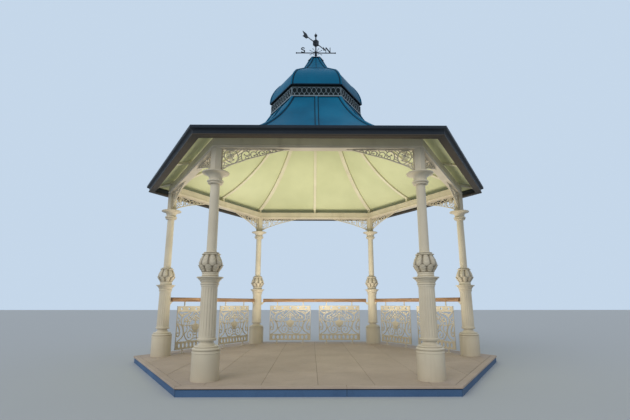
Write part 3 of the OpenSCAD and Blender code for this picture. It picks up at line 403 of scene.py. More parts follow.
# Columns. Each is cast iron under several coats of cream gloss, a little chalky and dusty towards its foot.
# The flutes, mouldings and capitals are cast with it.


def iron_paint(name, dark, pale, dust, dusty=(0.1, 0.42), hollow=None, specular=0.5, coat=0.15):
    material, tree, where = start_material(name)
    cloud = speckle(tree, where, 2.6, 5)
    drips = speckle(tree, where, 7, 5, (1, 1, 0.12))
    body = ramp(tree, cloud, [(0.32, dark), (0.68, pale)])
    streaked = blend_colours(tree, patches(tree, drips, 0.56, 0.8, 0.45), body, dust)
    rise = add_node(tree, "ShaderNodeSeparateXYZ", {0: where}).outputs["Z"]
    low = between(tree, rise, 0.55, 0, *dusty)
    share = add_node(tree, "ShaderNodeMath", {0: low, 1: cloud}, operation="MULTIPLY").outputs[0]
    colour = blend_colours(tree, share, streaked, dust)
    # Where the piece's tone attribute asks for it, the paint darkens to the hollow colour: painted shade.
    if hollow:
        depth = add_node(tree, "ShaderNodeAttribute", attribute_name="tone").outputs["Fac"]
        colour = blend_colours(tree, between(tree, depth, 0, 0.75), colour, hollow)
    grain = speckle(tree, where, 95, 3)
    roughness = between(tree, cloud, 0.34, 0.5)
    return finish_material(material, colour, roughness, grain, 0.0008, 0.5, specular, coat)


def coat_nodes(paint, names):
    for name in names:
        nodes[name].data.materials.clear()
        nodes[name].data.materials.append(paint)


cream = ((0.56, 0.50, 0.385), (0.66, 0.595, 0.465), (0.36, 0.30, 0.215))
cream_paint = iron_paint("cream_paint", *cream)
column_nodes = [name for name in nodes if name.startswith("column_") and name != "column_leaf_bulbs"]
coat_nodes(cream_paint, column_nodes)

# Leaf bulbs. Between the two shafts each column swells into a bulb of upright leaves, modelled in the round
# in the casting: a lower row whose tips curl out, and an upper row behind it whose tips make a crown round
# the shaft. The core between the leaves and the leaves' backs are painted dark, and each leaf darkens
# towards its tucked-in edges and along its veins: painted shade in the hollows of the relief.
hollow_shade = (0.2, 0.165, 0.115)
bulb_core_shade = iron_paint("bulb_core_shade", hollow_shade, (0.27, 0.225, 0.16), (0.14, 0.11, 0.08))
leaf_paint = iron_paint("leaf_paint", *cream, hollow=hollow_shade)
bulb_low, bulb_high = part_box("column_leaf_bulbs")
ring_r = 2.75
bulb_height = bulb_high.z - bulb_low.z
leaves = 8
leaf_pitch = 2 * math.pi / leaves
leaf_t = 0.006
rib_rise = 0.005
vein_rise = 0.0025
edge_tuck = 0.013


def along_points(points, s):
    place = s * (len(points) - 1)
    i = min(int(place), len(points) - 2)
    f = place - i
    return [a + (b - a) * f for a, b in zip(points[i], points[i + 1])]


def add_leaf(bm, middle, outline, lobes):
    shade = bm.verts.layers.float.get("tone") or bm.verts.layers.float.new("tone")
    rows = 14
    across = 8
    shells = []
    for inset in (0, leaf_t):
        grid = []
        for i in range(rows + 1):
            s = i / rows
            t, r, share = along_points(outline, s)
            half = share * leaf_pitch * (1 - 0.15 * abs(math.sin(lobes * math.pi * s)))
            row = []
            for j in range(across + 1):
                u = 2 * j / across - 1
                rise = rib_rise if j == across // 2 else 0
                vein = math.cos(26 * s - 5 * abs(u))
                tuck = edge_tuck * abs(u) ** 3 * (1 - 0.4 * s)
                reach = r + rise + vein_rise * vein - tuck - inset
                a = middle + half * u
                v = bm.verts.new((reach * math.cos(a), reach * math.sin(a), bulb_low.z + bulb_height * t))
                # Tone for painted shade: full on the leaf's back, and rising towards the tucked-in edges and
                # in the veins' troughs.
                v[shade] = 1 if inset else 0.9 * u ** 4 + 0.16 * (1 - vein)
                row.append(v)
            grid.append(row)
        shells.append(grid)
    outer, inner = shells
    for i in range(rows):
        for j in range(across):
            bm.faces.new((outer[i][j], outer[i][j + 1], outer[i + 1][j + 1], outer[i + 1][j]))
            bm.faces.new((inner[i][j], inner[i + 1][j], inner[i + 1][j + 1], inner[i][j + 1]))
    rims = []
    for grid in shells:
        right = [row[-1] for row in grid[1:]]
        left = [row[0] for row in grid[-2:0:-1]]
        rims.append(grid[0] + right + grid[-1][-2::-1] + left)
    rim_out, rim_in = rims
    for i in range(len(rim_out)):
        j = (i + 1) % len(rim_out)
        bm.faces.new((rim_out[j], rim_out[i], rim_in[i], rim_in[j]))


lower_leaf = [(0.02, 0.109, 0.5), (0.1, 0.118, 0.51), (0.19, 0.136, 0.51), (0.27, 0.146, 0.48),
              (0.335, 0.153, 0.36), (0.38, 0.158, 0.18), (0.36, 0.162, 0.03)]
upper_leaf = [(0.3, 0.134, 0.44), (0.42, 0.1475, 0.5), (0.56, 0.1405, 0.51), (0.69, 0.128, 0.5),
              (0.79, 0.1155, 0.49), (0.87, 0.104, 0.46), (0.9, 0.1005, 0.4)]
bm = bmesh.new()
add_leaf(bm, 0, lower_leaf, 3)
add_leaf(bm, leaf_pitch / 2, upper_leaf, 4)
for face in bm.faces:
    face.smooth = True
bmesh.ops.recalc_face_normals(bm, faces=bm.faces)
leaf_ring = six_round(piece_from("leaf_bulbs", bm, leaf_paint), leaves, 360 / leaves)


def turn_ring(bm, section, sides=48, scallop=0):
    rings = []
    for i in range(sides):
        a = 2 * math.pi * i / sides
        cut = 1 - scallop * abs(math.sin(leaves * a / 2))
        row = []
        for r, z, edge in section:
            reach = r * cut if edge else r
            row.append(bm.verts.new((reach * math.cos(a), reach * math.sin(a), z)))
        rings.append(row)
    skin(bm, rings[::-1], True)
    for face in bm.faces:
        face.smooth = True


column_place = Matrix.Translation((ring_r / 2, ring_r * side_cos, 0))
bm = bmesh.new()
core_section = [(0.06, 0, 0), (0.104, 0, 0), (0.111, 0.1, 0), (0.121, 0.2, 0), (0.134, 0.38, 0),
                (0.133, 0.5, 0), (0.12, 0.66, 0), (0.103, 0.8, 0), (0.09, 0.9, 0), (0.06, 0.9, 0)]
turn_ring(bm, [(r, bulb_low.z + bulb_height * t, edge) for r, t, edge in core_section])
# The bulb's core is painted dark all over: painted shade between the leaves.
bulb_core = piece_from("bulb_cores", bm, bulb_core_shade)
bm = bmesh.new()
crown_section = [(0.07, 0.86, 0), (0.09, 0.872, 0), (0.1, 0.885, 0), (0.122, 0.918, 1), (0.1245, 0.935, 1),
                 (0.118, 0.952, 1), (0.094, 0.978, 1), (0.074, 0.998, 0), (0.06, 0.998, 0)]
crown_line = [(r, bulb_low.z + bulb_height * t, edge) for r, t, edge in crown_section]
turn_ring(bm, crown_line, sides=64, scallop=0.05)
bulb_crown = piece_from("bulb_crowns", bm, leaf_paint)
for piece in (leaf_ring, bulb_core, bulb_crown):
    piece.data.transform(column_place)
    six_round(piece)
    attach(piece, "bandstand")
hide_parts("column_leaf_bulbs")

# Turned mouldings. A neck ring under the bulb, a hollow moulding under the collar's disc, beads above and
# below the flutes, and a thin lip round the drum's top, all of them cast with the column.
neck_h = 0.055
neck_foot = bulb_low.z - neck_h
neck_section = [(0.07, 0), (0.1045, 0.001), (0.1045, 0.03), (0.0995, 0.033), (0.0995, 0.036),
                (0.105, 0.039), (0.1065, 0.045), (0.105, 0.052), (0.1, neck_h), (0.07, neck_h)]
cove_section = [(0.1, -0.073), (0.114, -0.071), (0.119, -0.066), (0.12, -0.058), (0.124, -0.05),
                (0.133, -0.042), (0.141, -0.037), (0.144, -0.029), (0.143, -0.02), (0.1, -0.02)]
bead_section = [(0.09, -0.101), (0.11, -0.101), (0.1155, -0.097), (0.1175, -0.09), (0.1155, -0.083),
                (0.11, -0.079), (0.09, -0.079)]
foot_section = [(0.09, -0.768), (0.112, -0.768), (0.117, -0.763), (0.1185, -0.756), (0.117, -0.749),
                (0.112, -0.744), (0.09, -0.744)]
lip_section = [(0.15, -0.921), (0.1695, -0.921), (0.173, -0.918), (0.173, -0.911), (0.1695, -0.907),
               (0.15, -0.907)]
bm = bmesh.new()
for profile in (neck_section, cove_section, bead_section, foot_section, lip_section):
    turn_ring(bm, [(r, neck_foot + z, 0) for r, z in profile])
mouldings = piece_from("column_mouldings", bm, cream_paint)
mouldings.data.transform(column_place)
six_round(mouldings)
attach(mouldings, "bandstand")

# Railings. Two pierced cast panels to a railed bay, painted like the columns: scrolls and a pointed arch
# round a shell, between a band of ovals and a band of round holes. Each leg is bolted down through a small
# square plate.
coat_nodes(cream_paint, ["handrail_brackets"])


def smooth_line(points):
    parts = 4
    line = []
    for i in range(len(points) - 1):
        a, b, c, d = [points[max(0, min(k, len(points) - 1))] for k in range(i - 1, i + 3)]
        for step in range(parts):
            t = step / parts
            line.append(tuple(0.5 * (2 * q + (r - p) * t + (2 * p - 5 * q + 4 * r - e) * t * t
                                     + (3 * q - p - 3 * r + e) * t ** 3) for p, q, r, e in zip(a, b, c, d)))
    return line + [points[-1]]


def whorl(x, z, rx, rz, start, end, shrink_by=0.0):
    points = []
    for i in range(17):
        share = 1 - shrink_by * i / 16
        a = math.radians(start + (end - start) * i / 16)
        points.append((x + rx * share * math.cos(a), z + rz * share * math.sin(a)))
    return points


def add_stroke(bm, line, w0, w1, thick, closed=False):
    last = len(line) - 1
    rings = []
    for i, (x, z) in enumerate(line):
        before = line[(i - 1) % len(line)] if closed else line[max(i - 1, 0)]
        after = line[(i + 1) % len(line)] if closed else line[min(i + 1, last)]
        run = Vector((after[0] - before[0], after[1] - before[1])).normalized()
        half = (w0 + (w1 - w0) * i / last) / 2
        flat = half * 0.6
        shoulder = thick * 0.3
        face = thick / 2
        section = ((-half, -shoulder), (-flat, -face), (flat, -face), (half, -shoulder), (half, shoulder),
                   (flat, face), (-flat, face), (-half, shoulder))
        rings.append([bm.verts.new((x + run.y * side, y, z - run.x * side)) for side, y in section])
    skin(bm, rings, closed)


def add_boss(bm, x, z, r, thick):
    turns = [2 * math.pi * i / 16 for i in range(16)]
    rings = []
    for share, y in ((0.6, thick / 2), (1, thick * 0.3), (1, -thick * 0.3), (0.6, -thick / 2)):
        reach = r * share
        rings.append([bm.verts.new((x + reach * math.cos(a), y, z + reach * math.sin(a))) for a in turns])
    skin(bm, rings)


def add_plate(bm, outline, thick):
    skin(bm, [[bm.verts.new((x, y, z)) for x, z in outline] for y in (-thick / 2, thick / 2)])


def pierced_cell(bm, x, z, half_x, low_z, high_z, hole_x, hole_z, thick):
    rings = []
    for y in (-thick / 2, thick / 2):
        edge = []
        hole = []
        for side in range(4):
            for step in (-1, -0.5, 0, 0.5):
                u, v = ((step, -1), (1, step), (-step, 1), (-1, -step))[side]
                a = math.atan2(v, u)
                middle = (high_z + low_z) / 2
                edge.append(bm.verts.new((x + u * half_x, y, middle + v * (high_z - low_z) / 2)))
                hole.append(bm.verts.new((x + hole_x * math.cos(a), y, z + hole_z * math.sin(a))))
        rings.append((edge, hole))
    (edge_a, hole_a), (edge_b, hole_b) = rings
    for i in range(16):
        j = (i + 1) % 16
        bm.faces.new((edge_a[i], edge_a[j], hole_a[j], hole_a[i]))
        bm.faces.new((edge_b[i], hole_b[i], hole_b[j], edge_b[j]))
        bm.faces.new((hole_a[i], hole_a[j], hole_b[j], hole_b[i]))
        bm.faces.new((edge_a[i], edge_b[i], edge_b[j], edge_a[j]))


def both_hands(half_casting):
    bmesh.ops.recalc_face_normals(half_casting, faces=half_casting.faces)
    right = bpy.data.meshes.new("right_hand")
    half_casting.to_mesh(right)
    half_casting.free()
    pair = bmesh.new()
    pair.from_mesh(right)
    right.transform(Matrix.Diagonal((-1, 1, 1, 1)))
    right.flip_normals()
    pair.from_mesh(right)
    bpy.data.meshes.remove(right)
    return pair


panel_low, panel_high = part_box("railing_back_1")
half_w = (panel_high.x - panel_low.x) / 2
panel_place = (panel_high.x + panel_low.x) / 2
leg_h = 0.066
stub_h = 0.084
leg_x = 0.305
leg_w = 0.024
leg_t = 0.02
leg_root = 0.004
panel_foot = panel_low.z + leg_h
panel_h = panel_high.z - stub_h - panel_foot
oval_band = 0.135
hole_band = 0.098
frame_w = 0.015
field_w = half_w - frame_w
field_h = panel_h - oval_band - hole_band
scroll_w = 0.0205
thin = 0.78
panel_t = 0.016
frame_t = panel_t * 1.12
raised_t = panel_t * 1.1
ovals = 9
holes = 5
oval_end = 0.051
oval_hole_x = 0.03
oval_hole_z = 0.043
hole_r = 0.024
lozenge_l = 0.104
lozenge_h = 0.034
overlap = 0.001
panel_bars = [
    ([(0.29, 1.01), (0.44, 0.94), (0.6, 0.9), (0.745, 0.81), (0.79, 0.67), (0.7, 0.5)], 1, 1),
    ([(0.74, 0.56), (0.675, 0.45), (0.64, 0.34), (0.65, 0.23), (0.74, 0.12), (1, -0.01)], 1.7, 0.9),
    ([(1.01, 1.01), (0.9, 0.93), (0.8, 0.87), (0.72, 0.84)], 0.6, 2.2),
    ([(0.8, 0.87), (0.66, 0.925), (0.5, 0.925)], 0.9, 0.9),
    ([(0.29, 1.01), (0.3, 0.93), (0.42, 0.84), (0.53, 0.76)], thin, thin),
    ([(-0.02, 1.01), (0.16, 0.87), (0.31, 0.775), (0.42, 0.66), (0.47, 0.53)], thin, thin),
    ([(-0.02, 0.885), (0.13, 0.79), (0.25, 0.7), (0.34, 0.6), (0.36, 0.52)], thin, thin),
    ([(0.16, 0.87), (0.12, 0.93), (0.13, 1.01)], 0.6, 0.6),
    ([(0.38, 0.89), (0.3, 0.78), (0.22, 0.72)], 0.6, 0.6),
    ([(0.5, 0.78), (0.4, 0.68), (0.31, 0.63)], 0.6, 0.6),
    ([(0.6, 0.76), (0.63, 0.67), (0.62, 0.59), (0.68, 0.5)], thin, thin),
    ([(0.72, 0.51), (0.5, 0.53), (0.3, 0.525), (0.12, 0.53)], thin, thin),
    ([(0.5, 0.53), (0.455, 0.46), (0.45, 0.38), (0.5, 0.31), (0.6, 0.26)], 0.9, 0.9),
    ([(0.32, 0.52), (0.275, 0.44), (0.3, 0.37), (0.36, 0.31)], thin, thin),
    ([(0.3, -0.01), (0.13, 0.07), (-0.02, 0.1)], thin, thin),
    ([(0.09, 0.24), (0.03, 0.2), (-0.02, 0.21)], thin, thin),
    ([(1.01, 0.61), (0.87, 0.585), (0.73, 0.52)], thin, thin)]
panel_scrolls = [
    ([(0.61, 0.3), (0.54, 0.15), (0.4, 0.035), (0.22, 0.035), (0.1, 0.14), (0.11, 0.27), (0.23, 0.345),
      (0.36, 0.32), (0.42, 0.23), (0.38, 0.14), (0.29, 0.115), (0.22, 0.17), (0.25, 0.225)], 1, 0.65, 0.7),
    ([(1.01, 0.6), (0.93, 0.53), (0.87, 0.44), (0.84, 0.33), (0.86, 0.22), (0.93, 0.18), (0.985, 0.23),
      (0.965, 0.31), (0.92, 0.3)], 1.6, 0.55, 0.6),
    ([(1.01, 0.8), (0.93, 0.785), (0.88, 0.72), (0.9, 0.655), (0.955, 0.66)], thin, 0.6, 0.55)]
shell = [(0, 0.6), (0.06, 0.58), (0.14, 0.56), (0.21, 0.5), (0.19, 0.41), (0.12, 0.35), (0.07, 0.29),
         (0, 0.26)]


def in_field(points):
    return [(x * field_w, oval_band + z * field_h) for x, z in points]


half_casting = bmesh.new()
for points, w0, w1 in panel_bars:
    add_stroke(half_casting, smooth_line(in_field(points)), w0 * scroll_w, w1 * scroll_w, panel_t * 0.9)
for points, w0, w1, bud in panel_scrolls:
    line = smooth_line(in_field(points))
    add_stroke(half_casting, line, w0 * scroll_w, w1 * scroll_w, panel_t * 0.95)
    add_boss(half_casting, *line[-1], bud * scroll_w, raised_t)
for x, z, r, w in ((0.52, 0.71, 0.061, 0.021), (0.09, 0.735, 0.046, 0.016)):
    middle = in_field([(x, z)])[0]
    add_stroke(half_casting, whorl(*middle, r * field_h, r * field_h, 0, 360)[:-1], w, w, panel_t, True)
bm = both_hands(half_casting)
for z in (frame_w / 2, oval_band, panel_h - hole_band, panel_h - frame_w / 2):
    add_stroke(bm, [(-half_w, z), (half_w, z)], frame_w, frame_w, frame_t)
for x in (-half_w + frame_w / 2, half_w - frame_w / 2):
    add_stroke(bm, [(x, 0), (x, panel_h)], frame_w, frame_w, frame_t)
for x in (-leg_x, leg_x):
    for z0, z1 in ((leg_root, -leg_h), (panel_h - leg_root, panel_h + stub_h)):
        add_stroke(bm, [(x, z0), (x, z1)], leg_w, leg_w, leg_t)
oval_pitch = 2 * (half_w - oval_end + overlap) / ovals
for i in range(ovals):
    x = (i - (ovals - 1) / 2) * oval_pitch
    pierced_cell(bm, x, oval_band * 0.53, oval_pitch / 2, overlap, oval_band, oval_hole_x, oval_hole_z,
                 panel_t)
for x in (-half_w + oval_end / 2, half_w - oval_end / 2):
    add_stroke(bm, [(x, overlap), (x, oval_band)], oval_end, oval_end, panel_t)
hole_pitch = 2 * field_w / holes
hole_z = panel_h - hole_band / 2
for i in range(holes):
    x = (i - (holes - 1) / 2) * hole_pitch
    pierced_cell(bm, x, hole_z, hole_pitch / 2, panel_h - hole_band, panel_h - overlap, hole_r, hole_r,
                 panel_t)
for i in range(holes - 1):
    x = (i - holes / 2 + 1) * hole_pitch
    lozenge = [(x - lozenge_l / 2, hole_z), (x, hole_z - lozenge_h / 2), (x + lozenge_l / 2, hole_z),
               (x, hole_z + lozenge_h / 2)]
    add_plate(bm, lozenge, panel_t * 1.3)
shell_side = in_field(shell)
add_plate(bm, shell_side[::-1] + [(-x, z) for x, z in shell_side[1:-1]], raised_t)
for x in (-0.15, -0.08, 0, 0.08, 0.15):
    rib = in_field([(0.15 * x, 0.29), (0.75 * x, 0.42), (x, 0.56 - abs(x) * 0.25)])
    add_stroke(bm, rib, 0.004, 0.009, panel_t * 1.4)
add_stroke(bm, in_field([(0, 0.82), (0, 0.57)]), 0.7 * scroll_w, 1.7 * scroll_w, panel_t)
add_boss(bm, 0, oval_band + 0.83 * field_h, 0.03 * field_h, raised_t)
bmesh.ops.recalc_face_normals(bm, faces=bm.faces)
one_panel = bpy.data.meshes.new("one_panel")
bm.to_mesh(one_panel)
bm.free()
rail_y = -ring_r * side_cos
bm = bmesh.new()
for side in (-1, 2):
    one_panel.transform(Matrix.Translation((side * abs(panel_place), 0, 0)))
    bm.from_mesh(one_panel)
bpy.data.meshes.remove(one_panel)
panels = piece_from("railing_castings", bm, cream_paint)
to_first_bay = Matrix.Rotation(math.radians(120), 4, "Z")
panels.data.transform(to_first_bay @ Matrix.Translation((0, rail_y, panel_foot)))
six_round(panels, 3)
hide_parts(*[name for name in nodes if name.startswith("railing_")])
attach(panels, "bandstand")
plate_half = 0.038
plate_t = 0.007
plate_arris = 0.002
bolt_out = 0.026
leg_places = [side * abs(panel_place) + leg * leg_x for side in (-1, 1) for leg in (-1, 1)]
corner_signs = ((-1, -1), (1, -1), (1, 1), (-1, 1))
bm = bmesh.new()
spots = []
for bay in (2, 3, 4):
    spin = Matrix.Rotation(math.radians(60 * bay), 3, "Z")
    for x in leg_places:
        corners = [spin @ Vector((x + plate_half * u, rail_y + plate_half * v, 0)) for u, v in corner_signs]
        lay_block(bm, [(c.x, c.y) for c in corners], floor_high.z, floor_high.z + plate_t, plate_arris)
        for u, v in corner_signs:
            spots.append(spin @ Vector((x + bolt_out * u, rail_y + bolt_out * v, floor_high.z + plate_t)))
foot_plates = piece_from("railing_foot_plates", bm, cream_paint)
bolt_spots = bpy.data.meshes.new("railing_foot_bolts")
bolt_spots.from_pydata([tuple(p) for p in spots], [], [])
foot_bolts = bpy.data.objects.new("railing_foot_bolts", bolt_spots)
bpy.context.collection.objects.link(foot_bolts)


def dome_bolts(piece, material, head_r, head_h):
    tree, given, sockets = start_tree("dome_bolts", (
        ("Head radius", "Float", head_r), ("Head height", "Float", head_h), ("Finish", "Material", material)))
    ball = add_node(tree, "GeometryNodeMeshUVSphere", {"Segments": 10, "Rings": 6, "Radius": 1})
    size = {"X": given["Head radius"], "Y": given["Head radius"], "Z": given["Head height"]}
    scale = add_node(tree, "ShaderNodeCombineXYZ", size).outputs[0]
    head = add_node(tree, "GeometryNodeTransform", {"Geometry": ball.outputs["Mesh"], "Scale": scale})
    return set_out(piece, tree, sockets, given["Geometry"], head.outputs[0], given["Finish"])


dome_bolts(foot_bolts, cream_paint, head_r=0.008, head_h=0.006)
for piece in (foot_plates, foot_bolts):
    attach(piece, "bandstand")

# Handrails. Oiled hardwood, moulded to a rounded top with a groove along both sides, and the grain along
# each rail. Each is two lengths that meet in the middle, and rests on the railings' stubs and the columns'
# brackets.
rail_low, rail_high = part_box("handrails")
rail_h = rail_high.z - rail_low.z
rail_w = 0.092
column_room = 0.3
rail_l = ring_r - column_room
rail_gap = 0.0024
rail_arris = 0.008
round_r = 0.026
groove_low = 0.026
groove_high = 0.045
groove_in = 0.008
groove_slope = 0.003
closing_step = 0.02
bay_shift = 3.7
length_shift = 1.9


def rail_section():
    half = rail_w / 2
    groove = [(half, groove_low), (half - groove_in, groove_low + groove_slope),
              (half - groove_in, groove_high - groove_slope), (half, groove_high)]
    points = [(-half + rail_arris, 0), (half - rail_arris, 0), (half, rail_arris)] + groove
    first_round = len(points)
    for middle, start in ((half - round_r, 0), (-half + round_r, 90)):
        for i in range(9):
            a = math.radians(start + 90 * i / 8)
            points.append((middle + round_r * math.cos(a), rail_h - round_r + round_r * math.sin(a)))
    rounded = range(first_round, len(points) - 1)
    return points + [(-y, z) for y, z in groove[::-1]] + [(-half, rail_arris)], rounded


def oiled_wood(name):
    material, tree, _ = start_material(name)
    lay = add_node(tree, "ShaderNodeUVMap", uv_map="grain").outputs[0]
    fibre = speckle(tree, lay, 6, 8, (0.35, 9, 1))
    pores = speckle(tree, lay, 30, 4, (1.2, 26, 1))
    board = speckle(tree, lay, 0.9, 3)
    heart = ramp(tree, fibre, [(0.28, (0.2, 0.11, 0.055)), (0.5, (0.36, 0.215, 0.12)),
                               (0.72, (0.5, 0.33, 0.2))])
    shade = ramp(tree, board, [(0.3, (0.8, 0.8, 0.8)), (0.7, (1.12, 1.1, 1.08))])
    toned = blend_colours(tree, 1.0, heart, shade, "MULTIPLY")
    colour = blend_colours(tree, patches(tree, pores, 0.6, 0.72, 0.5), toned, (0.1, 0.035, 0.015))
    return finish_material(material, colour, between(tree, fibre, 0.38, 0.58), pores, 0.0008, 0.5)


handrail_wood = oiled_wood("handrail_wood")
bm = bmesh.new()
grain = bm.loops.layers.uv.new("grain")
section, rounded = rail_section()
steps = [0]
for a, b in zip(section, section[1:]):
    steps.append(steps[-1] + math.dist(a, b))
for bay in (2, 3, 4):
    spin = Matrix.Rotation(math.radians(60 * bay), 3, "Z")
    for part, (x0, x1) in enumerate(((-rail_l / 2, -rail_gap / 2), (rail_gap / 2, rail_l / 2))):
        ends = []
        for x in (x0, x1):
            ends.append([bm.verts.new(spin @ Vector((x, rail_y - y, rail_low.z + z))) for y, z in section])
        shift = bay * bay_shift + part * length_shift
        count = len(section)
        for i in range(count):
            j = (i + 1) % count
            face = bm.faces.new((ends[0][j], ends[0][i], ends[1][i], ends[1][j]))
            face.smooth = i in rounded
            far_step = steps[j] if j else steps[-1] + closing_step
            for loop, uv in zip(face.loops, ((x0, far_step), (x0, steps[i]), (x1, steps[i]), (x1, far_step))):
                loop[grain].uv = (uv[0] + shift, uv[1] + shift)
        for ring in (ends[0], ends[1][::-1]):
            face = bm.faces.new(ring)
            for loop in face.loops:
                loop[grain].uv = (loop.vert.co.z * 0.2 + shift, loop.vert.co.x + loop.vert.co.y)
bmesh.ops.recalc_face_normals(bm, faces=bm.faces)
rails = piece_from("handrail_timbers", bm, handrail_wood)
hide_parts("handrails")
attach(rails, "bandstand")

# Ring beam. Six cast lengths of beam with a moulded lower edge, mitred over the columns, which carry them
# on their posts. They have the same cream gloss.
coat_nodes(cream_paint, [name for name in nodes if name.startswith("ring_beam_")])

# Lace. Two thin pierced castings to a bay, each a frame of bars with a great scroll round an eye next to
# the post, then fronds, rings and smaller scrolls out to the tip.
lace_low, lace_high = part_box("lace_brackets_front")
lace_drop = lace_high.z - lace_low.z
lace_reach = 0.93
lace_w = 0.0125
lace_t = 0.016
lace_frame = [
    ([(0.0053, -0.01), (0.0053, -0.985)], 1.1, 1.1),
    ([(0, -0.0165), (0.985, -0.0165)], 1, 0.7),
    ([(0.004, -0.98), (0.035, -0.94), (0.086, -0.84), (0.161, -0.735), (0.3, -0.575), (0.37, -0.49),
      (0.484, -0.385), (0.606, -0.285), (0.742, -0.165), (0.9, -0.035)], 1.6, 1)]
lace_scrolls = [
    ([(0.2, -0.69), (0.235, -0.5), (0.225, -0.27), (0.18, -0.09), (0.115, -0.05), (0.06, -0.09),
      (0.034, -0.25), (0.04, -0.44), (0.085, -0.585), (0.14, -0.59), (0.175, -0.53)], 1.3, 0.9),
    ([(0.3, -0.57), (0.283, -0.4), (0.285, -0.24), (0.315, -0.12), (0.36, -0.1), (0.393, -0.18),
      (0.388, -0.29), (0.355, -0.33), (0.325, -0.28)], 1.2, 0.8),
    ([(0.44, -0.42), (0.418, -0.29), (0.425, -0.18), (0.46, -0.13), (0.495, -0.18), (0.496, -0.28),
      (0.468, -0.32)], 1.1, 0.8),
    ([(0.56, -0.33), (0.54, -0.2), (0.565, -0.09), (0.605, -0.1), (0.612, -0.2), (0.585, -0.21)], 1.1, 0.8),
    ([(0.655, -0.25), (0.643, -0.14), (0.672, -0.06), (0.705, -0.1), (0.695, -0.15)], 1, 0.8),
    ([(0.735, -0.17), (0.735, -0.09), (0.765, -0.05), (0.788, -0.09)], 1, 0.7)]
lace_fronds = [
    [(0.213, -0.62), (0.25, -0.52), (0.292, -0.46)],
    [(0.228, -0.5), (0.255, -0.4), (0.286, -0.34)],
    [(0.229, -0.36), (0.255, -0.25), (0.288, -0.19)],
    [(0.218, -0.22), (0.25, -0.12), (0.285, -0.03)],
    [(0.2, -0.14), (0.22, -0.07), (0.235, -0.02)],
    [(0.31, -0.13), (0.318, -0.07), (0.312, -0.02)],
    [(0.385, -0.14), (0.405, -0.06), (0.43, -0.02)],
    [(0.35, -0.11), (0.365, -0.05), (0.362, -0.02)],
    [(0.418, -0.25), (0.404, -0.3), (0.397, -0.36)],
    [(0.497, -0.24), (0.515, -0.3), (0.53, -0.35)],
    [(0.49, -0.16), (0.51, -0.08), (0.508, -0.02)],
    [(0.515, -0.3), (0.53, -0.17), (0.545, -0.14)],
    [(0.615, -0.16), (0.63, -0.2), (0.637, -0.25)],
    [(0.61, -0.1), (0.63, -0.05), (0.63, -0.02)],
    [(0.705, -0.12), (0.718, -0.15), (0.72, -0.18)],
    [(0.03, -0.3), (0.018, -0.4), (0.008, -0.44)],
    [(0.03, -0.17), (0.018, -0.1), (0.008, -0.07)],
    [(0.008, -0.64), (0.045, -0.66), (0.095, -0.75), (0.14, -0.75)],
    [(0.02, -0.92), (0.035, -0.83), (0.088, -0.78)],
    [(0.04, -0.67), (0.038, -0.76), (0.02, -0.84)],
    [(0.085, -0.59), (0.12, -0.66), (0.165, -0.71)]]
post_face = lace_low.x


def in_bracket(points):
    return [(post_face + x * lace_reach, lace_high.z + z * lace_drop) for x, z in points]


half_casting = bmesh.new()
for points, w0, w1 in lace_frame + lace_scrolls:
    add_stroke(half_casting, smooth_line(in_bracket(points)), w0 * lace_w, w1 * lace_w, lace_t)
for points, w0, w1 in lace_scrolls:
    add_boss(half_casting, *in_bracket(points)[-1], 0.85 * lace_w, lace_t)
for points in lace_fronds:
    add_stroke(half_casting, smooth_line(in_bracket(points)), 0.9 * lace_w, 0.7 * lace_w, lace_t * 0.9)
ring_w = 0.8 * lace_w
eye = in_bracket([(0.13, -0.31)])[0]
eye_r = 0.024
inner_ring_r = 0.039
outer_ring_r = 0.06
add_boss(half_casting, *eye, eye_r, lace_t * 1.2)
add_stroke(half_casting, whorl(*eye, inner_ring_r, inner_ring_r, 0, 360)[:-1], ring_w, ring_w, lace_t, True)
add_stroke(half_casting, whorl(*eye, outer_ring_r, outer_ring_r, 40, 300, 0.08), ring_w, 0.6 * lace_w, lace_t)
for a in (25, 115, 205, 295):
    way = (math.cos(math.radians(a)), math.sin(math.radians(a)))
    spoke = [(eye[0] + way[0] * r, eye[1] + way[1] * r) for r in (0.018, 0.084)]
    add_stroke(half_casting, spoke, 0.7 * lace_w, ring_w, lace_t * 0.9)
small_ring = in_bracket([(0.366, -0.425)])[0]
add_stroke(half_casting, whorl(*small_ring, 0.024, 0.018, 0, 360)[:-1], ring_w, ring_w, lace_t, True)
lace = piece_from("lace_castings", both_hands(half_casting), cream_paint)
lace.data.transform(Matrix.Translation((0, rail_y, 0)))
six_round(lace)
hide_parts(*[name for name in nodes if name.startswith("lace_brackets_")])
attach(lace, "bandstand")

# Rafters and ceiling. Curved rafters in warm cream stand on the ring beam under the hips and the middle of
# each face, with smooth lining boards between them, close-jointed and painted a pale sage.
no_dust = (-2, -1)
warm_cream = ((0.62, 0.585, 0.44), (0.71, 0.675, 0.52), (0.46, 0.42, 0.3))
rafter_paint = iron_paint("rafter_paint", *warm_cream, no_dust)
coat_nodes(rafter_paint, ["hip_rafters", "mid_rafters"])


def board_paint(name):
    material, tree, where = start_material(name)
    cloud = speckle(tree, where, 1.3, 4)
    body = ramp(tree, cloud, [(0.3, (0.53, 0.56, 0.34)), (0.7, (0.62, 0.65, 0.41))])
    grain = speckle(tree, where, 60, 3)
    return finish_material(material, body, between(tree, cloud, 0.42, 0.6), grain, 0.0006, 0.4)


coat_nodes(board_paint("lining_paint"), ["ceiling_lining"])

# Gutter. Six moulded lengths of cast iron, mitred at the corners and hung under the roof's edge. They are
# in three paints: a near-black lip, a slate hollow and a brown foot.


